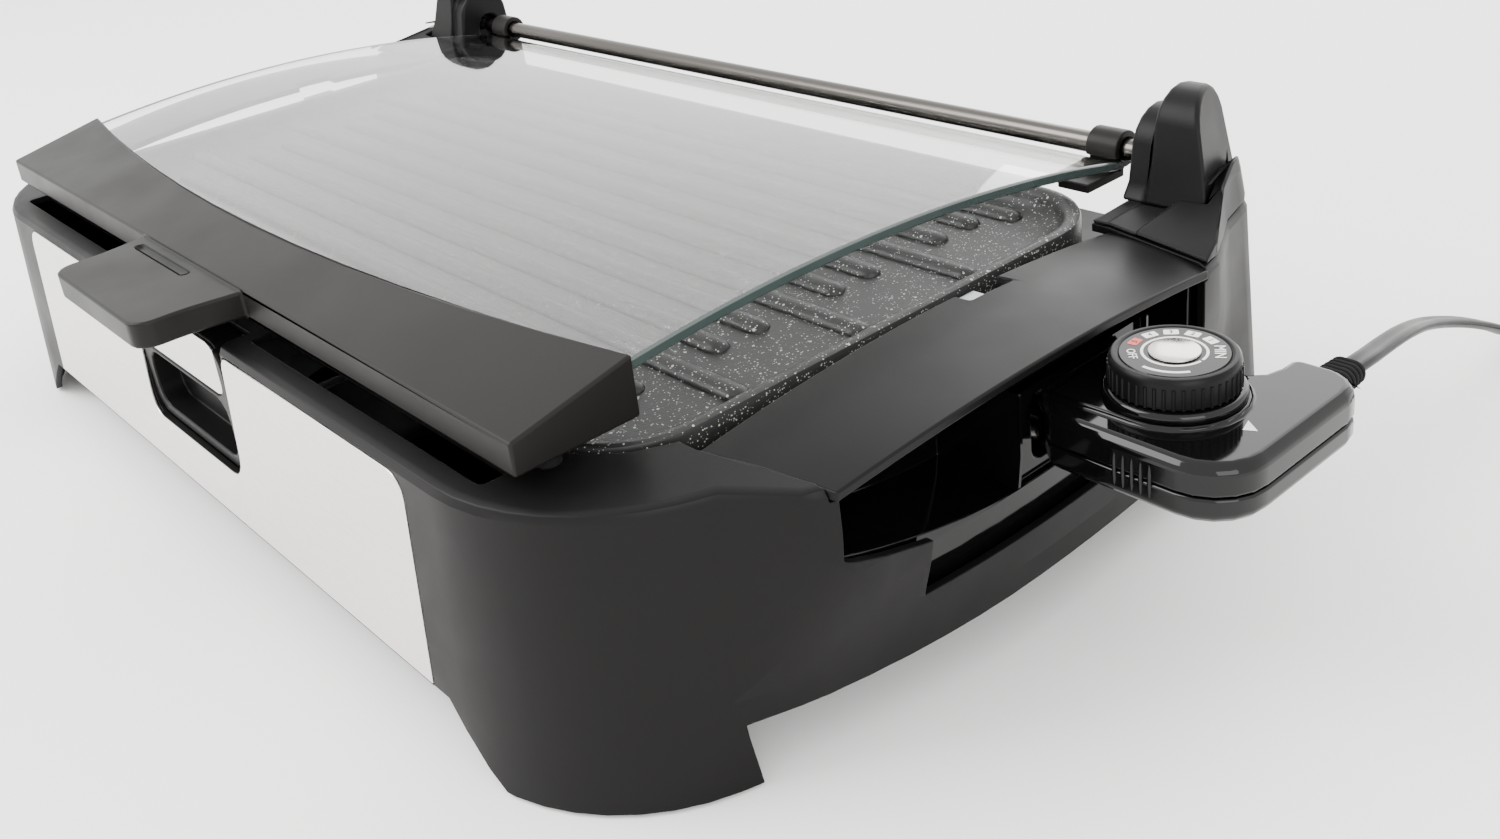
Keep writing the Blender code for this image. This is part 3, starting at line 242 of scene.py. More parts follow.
def make_materials():
    tones = bpy.context.scene.griddle_colours
    satin_abs("abs_satin_black", tones.housing)
    satin_abs("abs_satin_cover", tones.housing, 0.36, 1.1, 0.012)
    satin_abs("abs_satin_grip", tones.grip, 0.38, 0.9, 0.015)
    satin_abs("abs_knob", hex_color("#0a0a0a"), 0.33, 0.7, 0.010)
    gloss_abs("abs_gloss_black", tones.gloss)
    brushed_stainless("stainless_brushed_panel", tones.steel)
    brushed_stainless("stainless_tube", hex_color("#55524f"), 0.24, (60.0, 3.0, 3.0))
    brushed_stainless("stainless_spun_disc", hex_color("#d9d6d2"), 0.24, (0.8, 0.8, 3.0))
    granite_coating("granite_nonstick_coating", tones.plate, tones.speck)
    tempered_glass("tempered_glass")
    glass_edge("tempered_glass_edge")
    # Zinc plate is a dull bluish metal, aluminised sheet a brighter one.
    plain_surface("zinc_plated_steel", "#a9acae", 0.34, 1.5, 0.01, 0.08, Metallic=1.0)
    plain_surface("aluminised_sheet", "#c4c5c6", 0.38, 6.0, 0.05, 0.06, Metallic=1.0)
    # A sheathed element goes brown-black with its first heat.
    plain_surface("element_sheath", "#3a332e", 0.46, 1.0, 0.02, 0.2, Metallic=0.7)
    plain_surface("phenolic_moulding", "#2a1c17", 0.55, 0.8, 0.02, 0.15)
    plain_surface("brass_bare", "#b08c4f", 0.26, 1.0, 0.006, 0.1, Metallic=1.0)
    plain_surface("rubber_matte", "#121212", 0.82, 0.7, 0.03, 0.15, Specular_IOR_Level=0.15)
    plain_surface("pvc_cord_jacket", "#0e0e0e", 0.40, 1.6, 0.012, 0.12, Specular_IOR_Level=0.18)
    plain_surface("ink_white", "#d8d6d2", 0.45, 0.6, 0.004, 0.03)
    plain_surface("ink_red", "#b5332a", 0.45, 0.6, 0.004, 0.05)
    plain_surface("dial_gloss_black", "#0b0b0b", 0.20, 2.0, 0.004, 0.05, Specular_IOR_Level=0.2)


def paint(obj, *names):
    obj.data.materials.clear()
    for name in names:
        obj.data.materials.append(bpy.data.materials[name])
    return obj


# Meshes ------------------------------------------------------------------------------------------
SHARP_FROM = 40  # edges that turn by more degrees than this are shaded sharp
WELD = 0.02 * MM


def mesh_of(build):
    bm = bmesh.new()
    build(bm)
    bmesh.ops.recalc_face_normals(bm, faces=bm.faces)
    mesh = bpy.data.meshes.new("shape")
    bm.to_mesh(mesh)
    bm.free()
    return mesh


def loft(loops, cyclic=False):
    """A closed solid through loops of the same number of points, with its ends capped, or joined if cyclic."""

    def build(bm):
        rows = [[bm.verts.new(p) for p in loop] for loop in loops]
        count = len(rows[0])
        for low, high in zip(rows, rows[1:] + rows[:1] if cyclic else rows[1:]):
            for i in range(count):
                j = (i + 1) % count
                bm.faces.new((low[i], low[j], high[j], high[i]))
        if not cyclic:
            bm.faces.new(rows[0])
            bm.faces.new(rows[-1])

    return mesh_of(build)


def arc(centre, radius, start, end, steps):
    angles = [math.radians(start + (end - start) * i / steps) for i in range(steps + 1)]
    return [(centre[0] + radius * math.cos(a), centre[1] + radius * math.sin(a)) for a in angles]


def rounded(low, high, r, steps=8):
    """A rectangle with round corners, anticlockwise."""
    (x0, y0), (x1, y1) = low, high
    return (arc((x1 - r, y0 + r), r, -90, 0, steps) + arc((x1 - r, y1 - r), r, 0, 90, steps)
            + arc((x0 + r, y1 - r), r, 90, 180, steps) + arc((x0 + r, y0 + r), r, 180, 270, steps))


def inset(loop, distance):
    moved = []
    for i, point in enumerate(loop):
        before, here, after = Vector(loop[i - 1]), Vector(point), Vector(loop[(i + 1) % len(loop)])
        a, b = (here - before).normalized(), (after - here).normalized()
        moved.append(tuple(here + Vector((-a.y - b.y, a.x + b.x)) * (distance / (1 + a.dot(b)))))
    return moved


def slab(outline, low, high, rounding):
    """An outline as a flat plate between two heights, with round edges."""
    steps = 4
    loops = []
    for side, z in ((-1, low), (1, high)):
        order = range(steps + 1) if side < 0 else range(steps, -1, -1)
        for i in order:
            a = math.radians(90 * i / steps)
            loops.append([(x, y, z - side * rounding * (1 - math.cos(math.pi / 2 - a)))
                          for x, y in inset(outline, rounding * (1 - math.sin(a)))])
    return loft(loops)


def smooth(mesh, angle):
    mesh.shade_smooth()
    mesh.set_sharp_from_angle(angle=math.radians(angle))
    return mesh


def put(name, mesh, body, materials, replaces=(), angle=SHARP_FROM, shifted=True):
    """A finished mesh, made about the middle of the housing, becomes a piece that rides on a body."""
    if shifted:
        mesh.transform(Matrix.Translation(-MIDDLE))
    obj = bpy.data.objects.new(name, mesh if mesh.has_custom_normals else smooth(mesh, angle))
    bpy.context.scene.collection.objects.link(obj)
    paint(obj, *materials)
    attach(obj, body)
    if replaces:
        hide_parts(*replaces)
    return obj


def baked(obj):
    """The object with its modifiers as a plain mesh."""
    mesh = bpy.data.meshes.new_from_object(obj.evaluated_get(bpy.context.evaluated_depsgraph_get()))
    bpy.data.objects.remove(obj)
    return mesh


def cleaned(node):
    """A copy of a CAD node's mesh with its triangles joined into faces."""
    bm = bmesh.new()
    bm.from_mesh(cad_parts[node].data)
    bmesh.ops.remove_doubles(bm, verts=bm.verts, dist=WELD)
    bmesh.ops.dissolve_degenerate(bm, edges=bm.edges, dist=WELD)
    bmesh.ops.dissolve_limit(bm, angle_limit=math.radians(0.6), verts=bm.verts, edges=bm.edges)
    for face in bm.faces:
        face.material_index = 0
    mesh = bpy.data.meshes.new(node)
    bm.to_mesh(mesh)
    bm.free()
    return mesh


def moulding(name, node, body, material, edge=None, angle=32, segments=3):
    """A CAD node's own shape with its edges rounded as a mould leaves them."""
    width = bpy.context.scene.griddle_sizes.edge if edge is None else edge
    obj = bpy.data.objects.new(name, smooth(cleaned(node), SHARP_FROM))
    bpy.context.scene.collection.objects.link(obj)
    if width:
        bevel = obj.modifiers.new("edges", "BEVEL")
        bevel.width, bevel.segments = width, segments
        bevel.limit_method, bevel.angle_limit = "ANGLE", math.radians(angle)
        bevel.use_clamp_overlap = False
        bevel.loop_slide = False
        bevel.miter_outer = "MITER_ARC"
    even = obj.modifiers.new("even_shading", "WEIGHTED_NORMAL")
    even.keep_sharp = True
    mesh = baked(obj)
    return put(name, mesh, body, [material], [node], shifted=False)


def swept(points, outline):
    """A closed solid whose outline, as (across, up) pairs, is swept along points."""
    loops = []
    for i, point in enumerate(points):
        ahead = (points[min(i + 1, len(points) - 1)] - points[max(i - 1, 0)]).normalized()
        across = ahead.cross(Vector((0, 0, 1))).normalized()
        over = across.cross(ahead)
        loops.append([point + across * u + over * v for u, v in outline])
    return loft(loops)


def spline_points(route, step):
    """Points about step apart on a smooth curve through a route's points."""
    made = []
    for i in range(len(route) - 1):
        a, b = Vector(route[max(i - 1, 0)]), Vector(route[i])
        c, d = Vector(route[i + 1]), Vector(route[min(i + 2, len(route) - 1)])
        count = max(1, round((c - b).length / step))
        for k in range(count):
            t = k / count
            made.append(0.5 * ((2 * b) + (c - a) * t + (2 * a - 5 * b + 4 * c - d) * t**2
                               + (3 * b - a - 3 * c + d) * t**3))
    return made + [Vector(route[-1])]


# Geometry Nodes ----------------------------------------------------------------------------------
def start_tree(name, inputs):
    """A geometry tree with named inputs: (name, socket type) pairs. Returns the tree and its inputs by name."""
    tree = bpy.data.node_groups.new(name, "GeometryNodeTree")
    tree.interface.new_socket("Geometry", in_out="OUTPUT", socket_type="NodeSocketGeometry")
    for label, kind in inputs:
        tree.interface.new_socket(label, in_out="INPUT", socket_type=kind)
    entry = add_node(tree, "NodeGroupInput")
    return tree, {socket.name: socket for socket in entry.outputs}


def end_tree(tree, geometry, material):
    real = add_node(tree, "GeometryNodeRealizeInstances", {"Geometry": geometry})
    painted = add_node(tree, "GeometryNodeSetMaterial", {"Geometry": real, "Material": material})
    add_node(tree, "NodeGroupOutput", {0: painted})
    return tree


def grown(tree, **values):
    """The mesh that a geometry tree makes with these values of its inputs, the material given by its name."""
    obj = bpy.data.objects.new(tree.name, bpy.data.meshes.new(tree.name))
    modifier = obj.modifiers.new(tree.name, "NODES")
    modifier.node_group = tree
    for item in tree.interface.items_tree:
        if item.in_out == "INPUT":
            value = values[item.name.lower()]
            modifier[item.identifier] = bpy.data.materials[value] if item.name == "Material" else value
    bpy.context.scene.collection.objects.link(obj)
    return baked(obj)


def chained(tree, value, *steps):
    """A value through one sum after another, each an operation with its second value if it takes one."""
    for operation, *second in steps:
        value = add_node(tree, "ShaderNodeMath", {0: value, **dict(enumerate(second, 1))}, operation=operation)
    return value


def rib_tree():
    """A row of round-backed ribs with round ends. Each is a round bar, tapered at its ends and then flattened.
    A sine draws the bar's points together near its ends, where the taper is."""
    tree, given = start_tree("plate_ribs", [
        ("Length", "NodeSocketFloat"), ("Width", "NodeSocketFloat"), ("Height", "NodeSocketFloat"),
        ("Count", "NodeSocketInt"), ("Start", "NodeSocketVector"), ("Pitch", "NodeSocketVector"),
        ("Material", "NodeSocketMaterial")])
    half = chained(tree, given["Length"], ("MULTIPLY", 0.5))
    radius = chained(tree, given["Width"], ("MULTIPLY", 0.5))
    low = add_node(tree, "ShaderNodeCombineXYZ", {0: chained(tree, half, ("MULTIPLY", -1.0))})
    high = add_node(tree, "ShaderNodeCombineXYZ", {0: half})
    line = add_node(tree, "GeometryNodeCurvePrimitiveLine", {"Start": low, "End": high})
    even = add_node(tree, "GeometryNodeResampleCurve", {"Curve": line, "Count": 64})
    along = add_node(tree, "ShaderNodeSeparateXYZ", {0: add_node(tree, "GeometryNodeInputPosition")})
    drawn = chained(tree, along, ("DIVIDE", half), ("MULTIPLY", math.pi / 2), ("SINE",), ("MULTIPLY", half))
    spot = add_node(tree, "ShaderNodeCombineXYZ", {0: drawn})
    fine = add_node(tree, "GeometryNodeSetPosition", {"Geometry": even, "Position": spot})
    core = chained(tree, half, ("SUBTRACT", radius))
    past = chained(tree, along, ("ABSOLUTE",), ("SUBTRACT", core), ("DIVIDE", radius), ("MAXIMUM", 0.0))
    taper = chained(tree, past, ("MULTIPLY", past), ("MULTIPLY", -1.0), ("ADD", 1.0), ("MAXIMUM", 0.004), ("SQRT",))
    circle = add_node(tree, "GeometryNodeCurvePrimitiveCircle", {"Resolution": 16, "Radius": radius})
    bar = add_node(tree, "GeometryNodeCurveToMesh", {"Curve": fine, "Profile Curve": circle, "Scale": taper,
                                                     "Fill Caps": True})
    flat = chained(tree, given["Height"], ("DIVIDE", radius))
    scale = add_node(tree, "ShaderNodeCombineXYZ", {0: 1.0, 1: 1.0, 2: flat})
    rib = add_node(tree, "GeometryNodeTransform", {"Geometry": bar, "Scale": scale})
    row = add_node(tree, "GeometryNodeMeshLine", {"Count": given["Count"], "Start Location": given["Start"],
                                                  "Offset": given["Pitch"]})
    placed = add_node(tree, "GeometryNodeInstanceOnPoints", {"Points": row, "Instance": rib})
    return end_tree(tree, placed, given["Material"])


def ring_tree():
    """Upright ridges evenly round a circle."""
    tree, given = start_tree("ridges_round_a_ring", [
        ("Count", "NodeSocketInt"), ("Radius", "NodeSocketFloat"), ("Ridge", "NodeSocketFloat"),
        ("Height", "NodeSocketFloat"), ("Centre", "NodeSocketVector"), ("Material", "NodeSocketMaterial")])
    ring = add_node(tree, "GeometryNodeMeshCircle", {"Vertices": given["Count"], "Radius": given["Radius"]})
    ridge = add_node(tree, "GeometryNodeMeshCylinder",
                     {"Vertices": 8, "Radius": given["Ridge"], "Depth": given["Height"]})
    placed = add_node(tree, "GeometryNodeInstanceOnPoints", {"Points": ring, "Instance": ridge})
    moved = add_node(tree, "GeometryNodeTransform", {"Geometry": placed, "Translation": given["Centre"]})
    return end_tree(tree, moved, given["Material"])


def row_tree():
    """Rounded bars in a row, each a ball stretched to a size."""
    tree, given = start_tree("bars_in_a_row", [
        ("Count", "NodeSocketInt"), ("Start", "NodeSocketVector"), ("Pitch", "NodeSocketVector"),
        ("Size", "NodeSocketVector"), ("Material", "NodeSocketMaterial")])
    row = add_node(tree, "GeometryNodeMeshLine", {"Count": given["Count"], "Start Location": given["Start"],
                                                  "Offset": given["Pitch"]})
    bar = add_node(tree, "GeometryNodeMeshIcoSphere", {"Radius": 0.5, "Subdivisions": 3})
    placed = add_node(tree, "GeometryNodeInstanceOnPoints", {"Points": row, "Instance": bar, "Scale": given["Size"]})
    return end_tree(tree, placed, given["Material"])


def screw_tree():
    """Pan-head screws with a cross recess, one at each point of a line, heads down."""
    tree, given = start_tree("cross_head_screws", [
        ("Count", "NodeSocketInt"), ("Start", "NodeSocketVector"), ("Pitch", "NodeSocketVector"),
        ("Radius", "NodeSocketFloat"), ("Material", "NodeSocketMaterial")])
    row = add_node(tree, "GeometryNodeMeshLine", {"Count": given["Count"], "Start Location": given["Start"],
                                                  "Offset": given["Pitch"]})
    top = chained(tree, given["Radius"], ("MULTIPLY", 0.72))
    head = add_node(tree, "GeometryNodeMeshCone", {"Vertices": 20, "Radius Top": given["Radius"], "Radius Bottom": top,
                                                   "Depth": 0.0016})
    long_way = add_node(tree, "ShaderNodeCombineXYZ", {0: given["Radius"], 1: 0.0008, 2: 0.0012})
    other_way = add_node(tree, "ShaderNodeCombineXYZ", {0: 0.0008, 1: given["Radius"], 2: 0.0012})
    bars = []
    for size in (long_way, other_way):
        bar = add_node(tree, "GeometryNodeMeshCube", {"Size": size})
        bars.append(add_node(tree, "GeometryNodeTransform", {"Geometry": bar, "Translation": (0, 0, -0.0002)}))
    cut = add_node(tree, "GeometryNodeMeshBoolean", {"Mesh 1": head, "Mesh 2": bars[0]}, operation="DIFFERENCE")
    again = add_node(tree, "GeometryNodeMeshBoolean", {"Mesh 1": cut, "Mesh 2": bars[1]}, operation="DIFFERENCE")
    placed = add_node(tree, "GeometryNodeInstanceOnPoints", {"Points": row, "Instance": again})
    return end_tree(tree, placed, given["Material"])


def joined(meshes):
    """Several meshes as one."""
    bm = bmesh.new()
    for mesh in meshes:
        bm.from_mesh(mesh)
    made = bpy.data.meshes.new("joined")
    bm.to_mesh(made)
    bm.free()
    return made


# Cord --------------------------------------------------------------------------------------------
def eased(value, start, length):
    """Rises smoothly from 0 to 1 as a value goes from start over a length."""
    t = max(0.0, min(1.0, (value - start) / length))
    return t * t * (3 - 2 * t)


def coil_points():
    """Two turns side by side on the counter, wound inwards, and part of a third on top of them."""
    made = []
    for theta in range(0, 841, 12):
        inward, lift = eased(theta, 290, 110), eased(theta, 640, 100)
        radius = 0.0480 - 0.0075 * inward + 0.0037 * lift
        height = 0.0040 + 0.0055 * lift
        a = math.radians(180 - theta)
        made.append(COIL + Vector((radius * math.cos(a), radius * math.sin(a), height)))
    return made


def twin_outline():
    """Two round cores side by side in one jacket, with a groove between them."""
    r = CORD_THICK / 2
    right = arc((r, 0), r, -140, 140, 9)
    return right + [(-x, y) for x, y in reversed(right)]


def make_tie():
    """The band round the coil, a rounded rectangle in the upright plane through the coil's middle."""
    a = math.radians(-70)
    out, side = Vector((math.cos(a), math.sin(a), 0)), Vector((-math.sin(a), math.cos(a), 0))
    around = [COIL + out * u + Vector((0, 0, v)) for u, v in rounded((0.0352, 0.0008), (0.0534, 0.0132), 0.004, 5)]
    middle = sum(around, Vector()) / len(around)
    half_width, thick, lowest = 0.004, 0.0008, 0.0006
    loops = []
    for across, outer in ((-1, 0), (1, 0), (1, 1), (-1, 1)):
        loop = [p + side * (half_width * across) + (p - middle).normalized() * (thick * outer) for p in around]
        loops.append([Vector((p.x, p.y, max(p.z, lowest))) for p in loop])
    return put("cord_tie", loft(loops, cyclic=True), "probe", ["rubber_matte"])


def make_cord():
    points = spline_points(ROUTE + coil_points() + TAIL, 0.004)
    cord = put("power_cord", swept(points, twin_outline()), "probe", ["pvc_cord_jacket"],
               ["cord", "cord_coil"], 50)
    tie = make_tie()
    plug = make_plug()
    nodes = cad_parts
    blades = [paint(nodes[f"{side}_plug_blade"], "brass_bare") for side in ("left", "right")]


def make_plug():
    """A moulded two-pin plug with a ribbed tail, lying flat beside the coil."""
    start = Vector((0.4245, 0.3130, 0.0083))
    # Each station is a distance along the plug, with half its width and half its height there.
    stations = [(0.0, 0.0041, 0.0030)]
    for ridge in range(5):
        d = 0.0010 + 0.0030 * ridge
        wide, high = 0.0041 + 0.0002 * ridge, 0.0030 + 0.0003 * ridge
        stations += [(d, wide, high), (d + 0.0016, wide, high), (d + 0.0019, wide - 0.0007, high - 0.0006),
                     (d + 0.0027, wide - 0.0007, high - 0.0006)]
    stations += [(0.0172, 0.0066, 0.0056), (0.0195, 0.0096, 0.0070), (0.0240, 0.0110, 0.0076), (0.0360, 0.0117, 0.0077),
                 (0.0488, 0.0117, 0.0077), (0.0496, 0.0112, 0.0072), (0.0499, 0.0104, 0.0064)]
    loops = []
    for d, w, h in stations:
        loops.append([start + Vector((x, -d, z)) for x, z in rounded((-w, -h), (w, h), min(w, h) * 0.72, 5)])
    return put("plug_moulding", loft(loops), "probe", ["pvc_cord_jacket"], ["plug"], 35)


# Housing -----------------------------------------------------------------------------------------
HOUSING_EDGE = 0.0004  # as wide as fits on the narrow strip of wall over the opening behind the panel


def make_housing():
    moulding("housing_moulding", "housing", "base", "abs_satin_black", HOUSING_EDGE)
    moulding("base_cover", "bottom_plate", "base", "abs_satin_black", 0.0005)
    for side in ("left", "right"):
        for end in ("front", "rear"):
            moulding(f"{side}_{end}_foot", f"{side}_{end}_foot_pad", "base", "rubber_matte", 0.0008)
    screws = [grown(screw_tree(), count=4, start=Vector((-0.195, y, 0.0293)), pitch=Vector((0.130, 0, 0)),
                    radius=0.0036, material="zinc_plated_steel") for y in (-0.105, 0.105)]
    put("base_cover_screws", joined(screws), "base", ["zinc_plated_steel"])


def make_panel():
    moulding("front_panel_sheet", "front_panel", "base", "stainless_brushed_panel", 0.00025, segments=2)


def make_handles():
    for side in ("left", "right"):
        moulding(f"{side}_cover", f"{side}_handle_cover", "base", "abs_satin_cover", 0.0007)
        moulding(f"{side}_recess_tub", f"{side}_handle_liner", "base", "abs_gloss_black", 0.0006)
        moulding(f"{side}_clip", f"{side}_plate_clip", f"{side}_clip", "zinc_plated_steel", 0.0003, segments=2)


def make_hinges():
    """The blocks at the rear corners, and the domed caps over the hinge."""
    for side in ("left", "right"):
        moulding(f"{side}_hinge_block", f"{side}_hinge_tower", "base", "abs_satin_black", 0.0008)
        moulding(f"{side}_hinge_dome", f"{side}_hinge_cap", "base", "abs_satin_black", 0.0016, 30, 4)


# Plate -------------------------------------------------------------------------------------------
PLATE_HALF, PLATE_Y, PLATE_CORNER = (0.230, 0.121), -0.002, 0.036
PLATE_LOW, PLATE_FLOOR, PLATE_TOP = 0.084, 0.0915, 0.100
COVE_RISE, COVE_START, COVE_RUN = 0.0075, 0.0062, 0.0100
RIBS_Y = PLATE_Y - 0.0015
RIB_SUNK = 0.0007  # from the plate's floor down to the middle of a rib's bar
# Each run of ribs: length, number of ribs, its first rib's place in pitches from the middle, pitches between its
# ribs, and how far it is moved off its place towards the middle.
RIB_RUNS = [(0.434, 3, -3, 3, 0.0), (0.374, 2, -5, 1, 0.0), (0.374, 2, -2, 1, 0.0), (0.374, 2, 1, 1, 0.0),
            (0.374, 2, 4, 1, 0.0), (0.392, 1, -6, 1, 0.004), (0.392, 1, 6, 1, -0.004)]


def cast_plate():
    """The plate without its ribs: a rounded rim, a coved wall down to the floor, and the drain slot."""
    half_x, half_y = PLATE_HALF
    outline = rounded((-half_x, -half_y + PLATE_Y), (half_x, half_y + PLATE_Y), PLATE_CORNER, 20)
    # Heights, and how far in from the outline, up the outside, over the rim and down the cove.
    wall = [(PLATE_LOW, 0.0014), (PLATE_LOW + 0.0004, 0.0004), (PLATE_LOW + 0.0014, 0.0), (PLATE_TOP - 0.0016, 0.0),
            (PLATE_TOP - 0.0005, 0.0005), (PLATE_TOP, 0.0016), (PLATE_TOP - 0.0001, 0.0034),
            (PLATE_TOP - 0.0009, 0.0052)]
    cove = [(PLATE_FLOOR + COVE_RISE * (1 - math.sin(math.radians(a))),
             COVE_START + COVE_RUN * (1 - math.cos(math.radians(a)))) for a in range(10, 91, 10)]
    plate = bpy.data.objects.new("plate", loft([[(x, y, z) for x, y in inset(outline, i)] for z, i in wall + cove]))
    slot_outline = rounded((-0.012, -0.1045), (0.012, -0.0985), 0.0028, 6)
    cutter = bpy.data.objects.new("drain", loft([[(x, y, z) for x, y in slot_outline] for z in (0.080, 0.096)]))
    for obj in (plate, cutter):
        bpy.context.scene.collection.objects.link(obj)
    drain = plate.modifiers.new("drain", "BOOLEAN")
    drain.operation, drain.object = "DIFFERENCE", cutter
    mesh = baked(plate)
    bpy.data.objects.remove(cutter)
    return mesh


def make_plate():
    """The cast plate, and the ribs that run along it."""
    sizes = bpy.context.scene.griddle_sizes
    put("plate_casting", cast_plate(), "base", ["granite_nonstick_coating"], ["griddle_plate"], 35)
    tree = rib_tree()
    ribs = []
    for length, count, first, every, moved in RIB_RUNS:
        start = Vector((0, RIBS_Y + first * sizes.rib_pitch + moved, PLATE_FLOOR - RIB_SUNK))
        ribs.append(grown(tree, length=length, width=sizes.rib_width, height=sizes.rib_height, count=count,
                          start=start, pitch=Vector((0, every * sizes.rib_pitch, 0)),
                          material="granite_nonstick_coating"))
    put("plate_ribs", joined(ribs), "base", ["granite_nonstick_coating"], angle=60)


def make_inside():
    """What shows only through gaps: the element, its reflector and the port."""
    looks = {
        "heating_element": "element_sheath", "front_terminal_pin": "zinc_plated_steel",
        "rear_terminal_pin": "zinc_plated_steel", "inlet_block": "phenolic_moulding",
        "sensor_sleeve": "zinc_plated_steel", "left_element_bracket": "zinc_plated_steel",
        "right_element_bracket": "zinc_plated_steel", "heat_reflector": "aluminised_sheet",
        "left_tray_rail": "zinc_plated_steel", "right_tray_rail": "zinc_plated_steel",
    }
    for node, look in looks.items():
        moulding(f"{node}_finished", node, "base", look, 0.0)


# Lid ---------------------------------------------------------------------------------------------
GLASS_FRONT, GLASS_REAR, GLASS_HALF, GLASS_THICK = -0.1230, 0.1338, 0.2205, 0.0040
GLASS_BEND, GLASS_PEAK, GLASS_PEAK_Y = 0.700, 0.1283, -0.025


def glass_sheet():
    """The bent sheet, with its edges ground a little."""
    grind = 0.0008
    columns = ((-GLASS_HALF, grind), (-GLASS_HALF + 0.0004, 0.00025), (-GLASS_HALF + grind, 0.0),
               (-GLASS_HALF + 0.0030, 0.0))
    rim = list(columns) + [(-x, cut) for x, cut in reversed(columns)]
    steps = 48
    loops = []
    for i in range(steps + 1):
        y = GLASS_FRONT + (GLASS_REAR - GLASS_FRONT) * i / steps
        top = GLASS_PEAK - GLASS_BEND + math.sqrt(GLASS_BEND**2 - (y - GLASS_PEAK_Y) ** 2)
        end = grind if i in (0, steps) else 0.0
        loops.append([Vector((x, y, top - max(cut, end))) for x, cut in rim]
                     + [Vector((x, y, top - GLASS_THICK + max(cut, end))) for x, cut in reversed(rim)])
    return loft(loops)


def make_lid():
    glass = put("glass_sheet", glass_sheet(), "lid", ["tempered_glass", "tempered_glass_edge"],
                ["lid_glass"], 25)
    for face in glass.data.polygons:
        if abs(face.normal.x) > 0.5 or abs(face.normal.y) > 0.7:
            face.material_index = 1
    moulding("lid_bar", "lid_handle", "lid", "abs_satin_grip", 0.0010, 30)
    for side in ("left", "right"):
        moulding(f"{side}_arm", f"{side}_lid_arm", "lid", "abs_satin_grip", 0.0006)
        moulding(f"{side}_bumper", f"{side}_lid_bumper", "lid", "rubber_matte", 0.0006)
        moulding(f"{side}_pin", f"{side}_hinge_pin", "base", "zinc_plated_steel", 0.0003)
    sides = 32
    rail = [[Vector((x, y, z)) for y, z in arc((HINGE_Y, HINGE_Z), r, 0, 360 - 360 / sides, sides - 1)]
            for x, r in ((-0.2315, 0.0034), (-0.2311, 0.0042), (0.2311, 0.0042), (0.2315, 0.0034))]
    put("rear_rail", loft(rail), "lid", ["stainless_tube"], ["lid_rear_rail"], 40)


# Tray --------------------------------------------------------------------------------------------
def make_tray():
    moulding("tray_basin", "drip_tray", "tray", "aluminised_sheet", 0.0006)
    moulding("tray_pull", "tray_front", "tray", "abs_satin_black", 0.0007)
    moulding("tray_badge", "tray_face", "tray", "stainless_brushed_panel", 0.0002, segments=2)


# Probe and knob ----------------------------------------------------------------------------------
def make_probe():
    moulding("probe_top", "probe_upper_shell", "probe", "abs_gloss_black", 0.0011)
    moulding("probe_bottom", "probe_lower_shell", "probe", "abs_gloss_black", 0.0009)
    for node, look in (("thermostat_frame", "zinc_plated_steel"), ("sensor_rod", "zinc_plated_steel"),
                       ("front_contact_sleeve", "brass_bare"), ("rear_contact_sleeve", "brass_bare")):
        moulding(f"{node}_finished", node, "probe", look, 0.0003, segments=2)
    bezel = turned([(r, PAD_TOP + z) for r, z in (
        (0.0150, 0.0003), (0.0206, 0.0003), (0.0208, 0.0012), (0.0206, 0.0022), (0.0202, 0.0029), (0.0196, 0.0032),
        (0.0060, 0.0032))])
    put("knob_seat", bezel, "probe", ["abs_gloss_black"], ["knob_bezel"], 35)
    grip = grown(row_tree(), count=5, start=Vector((0.3158, -0.0068, 0.0790)), pitch=Vector((0.0029, 0, 0)),
                 size=Vector((0.0015, 0.0016, 0.0112)), material="abs_gloss_black")
    put("probe_grip_bars", grip, "probe", ["abs_gloss_black"])
    mark = slab([(0.3393, 0.0232), (0.3408, 0.0178), (0.3443, 0.0196)], 0.08895, 0.08915, 0.00005)
    put("probe_pointer", mark, "probe", ["ink_white"])


def make_relief():
    """The ribbed flat sleeve that carries the cord out of the probe's tail."""
    start, end = Vector(CORD_EXIT) - Vector((0, 0.0030, 0)), Vector((0.3398, 0.0792, 0.0823))
    along = end - start
    # Each station is a share of the way along, with half the sleeve's width and half its height there.
    stations = [(0.0, 0.0046, 0.0029), (0.20, 0.0046, 0.0029)]
    for ridge in range(5):
        t = 0.24 + 0.15 * ridge
        wide, high = 0.0062 - 0.00015 * ridge, 0.0043 - 0.00010 * ridge
        stations += [(t + step, wide - cut, high - cut) for step, cut in (
            (0.0, 0.0009), (0.015, 0.0002), (0.05, 0.0), (0.085, 0.0002), (0.10, 0.0009))]
    stations += [(1.0, 0.0040, 0.0026)]
    loops = []
    for t, wide, high in stations:
        centre = start + along * t
        flat = rounded((-wide, -high), (wide, high), high * 0.94, 6)
        loops.append([centre + Vector((x, 0, z)) for x, z in flat])
    put("cord_sleeve", loft(loops), "probe", ["rubber_matte"], ["strain_relief"], 35)


def turned(profile, sides=72):
    """(radius, height) points turned about the knob's upright axis."""
    angles = [2 * math.pi * i / sides for i in range(sides)]
    return loft([[Vector((KNOB.x + r * math.cos(a), KNOB.y + r * math.sin(a), z)) for a in angles]
                 for r, z in profile])


INK = 0.0001  # how far print stands up, so that it shows


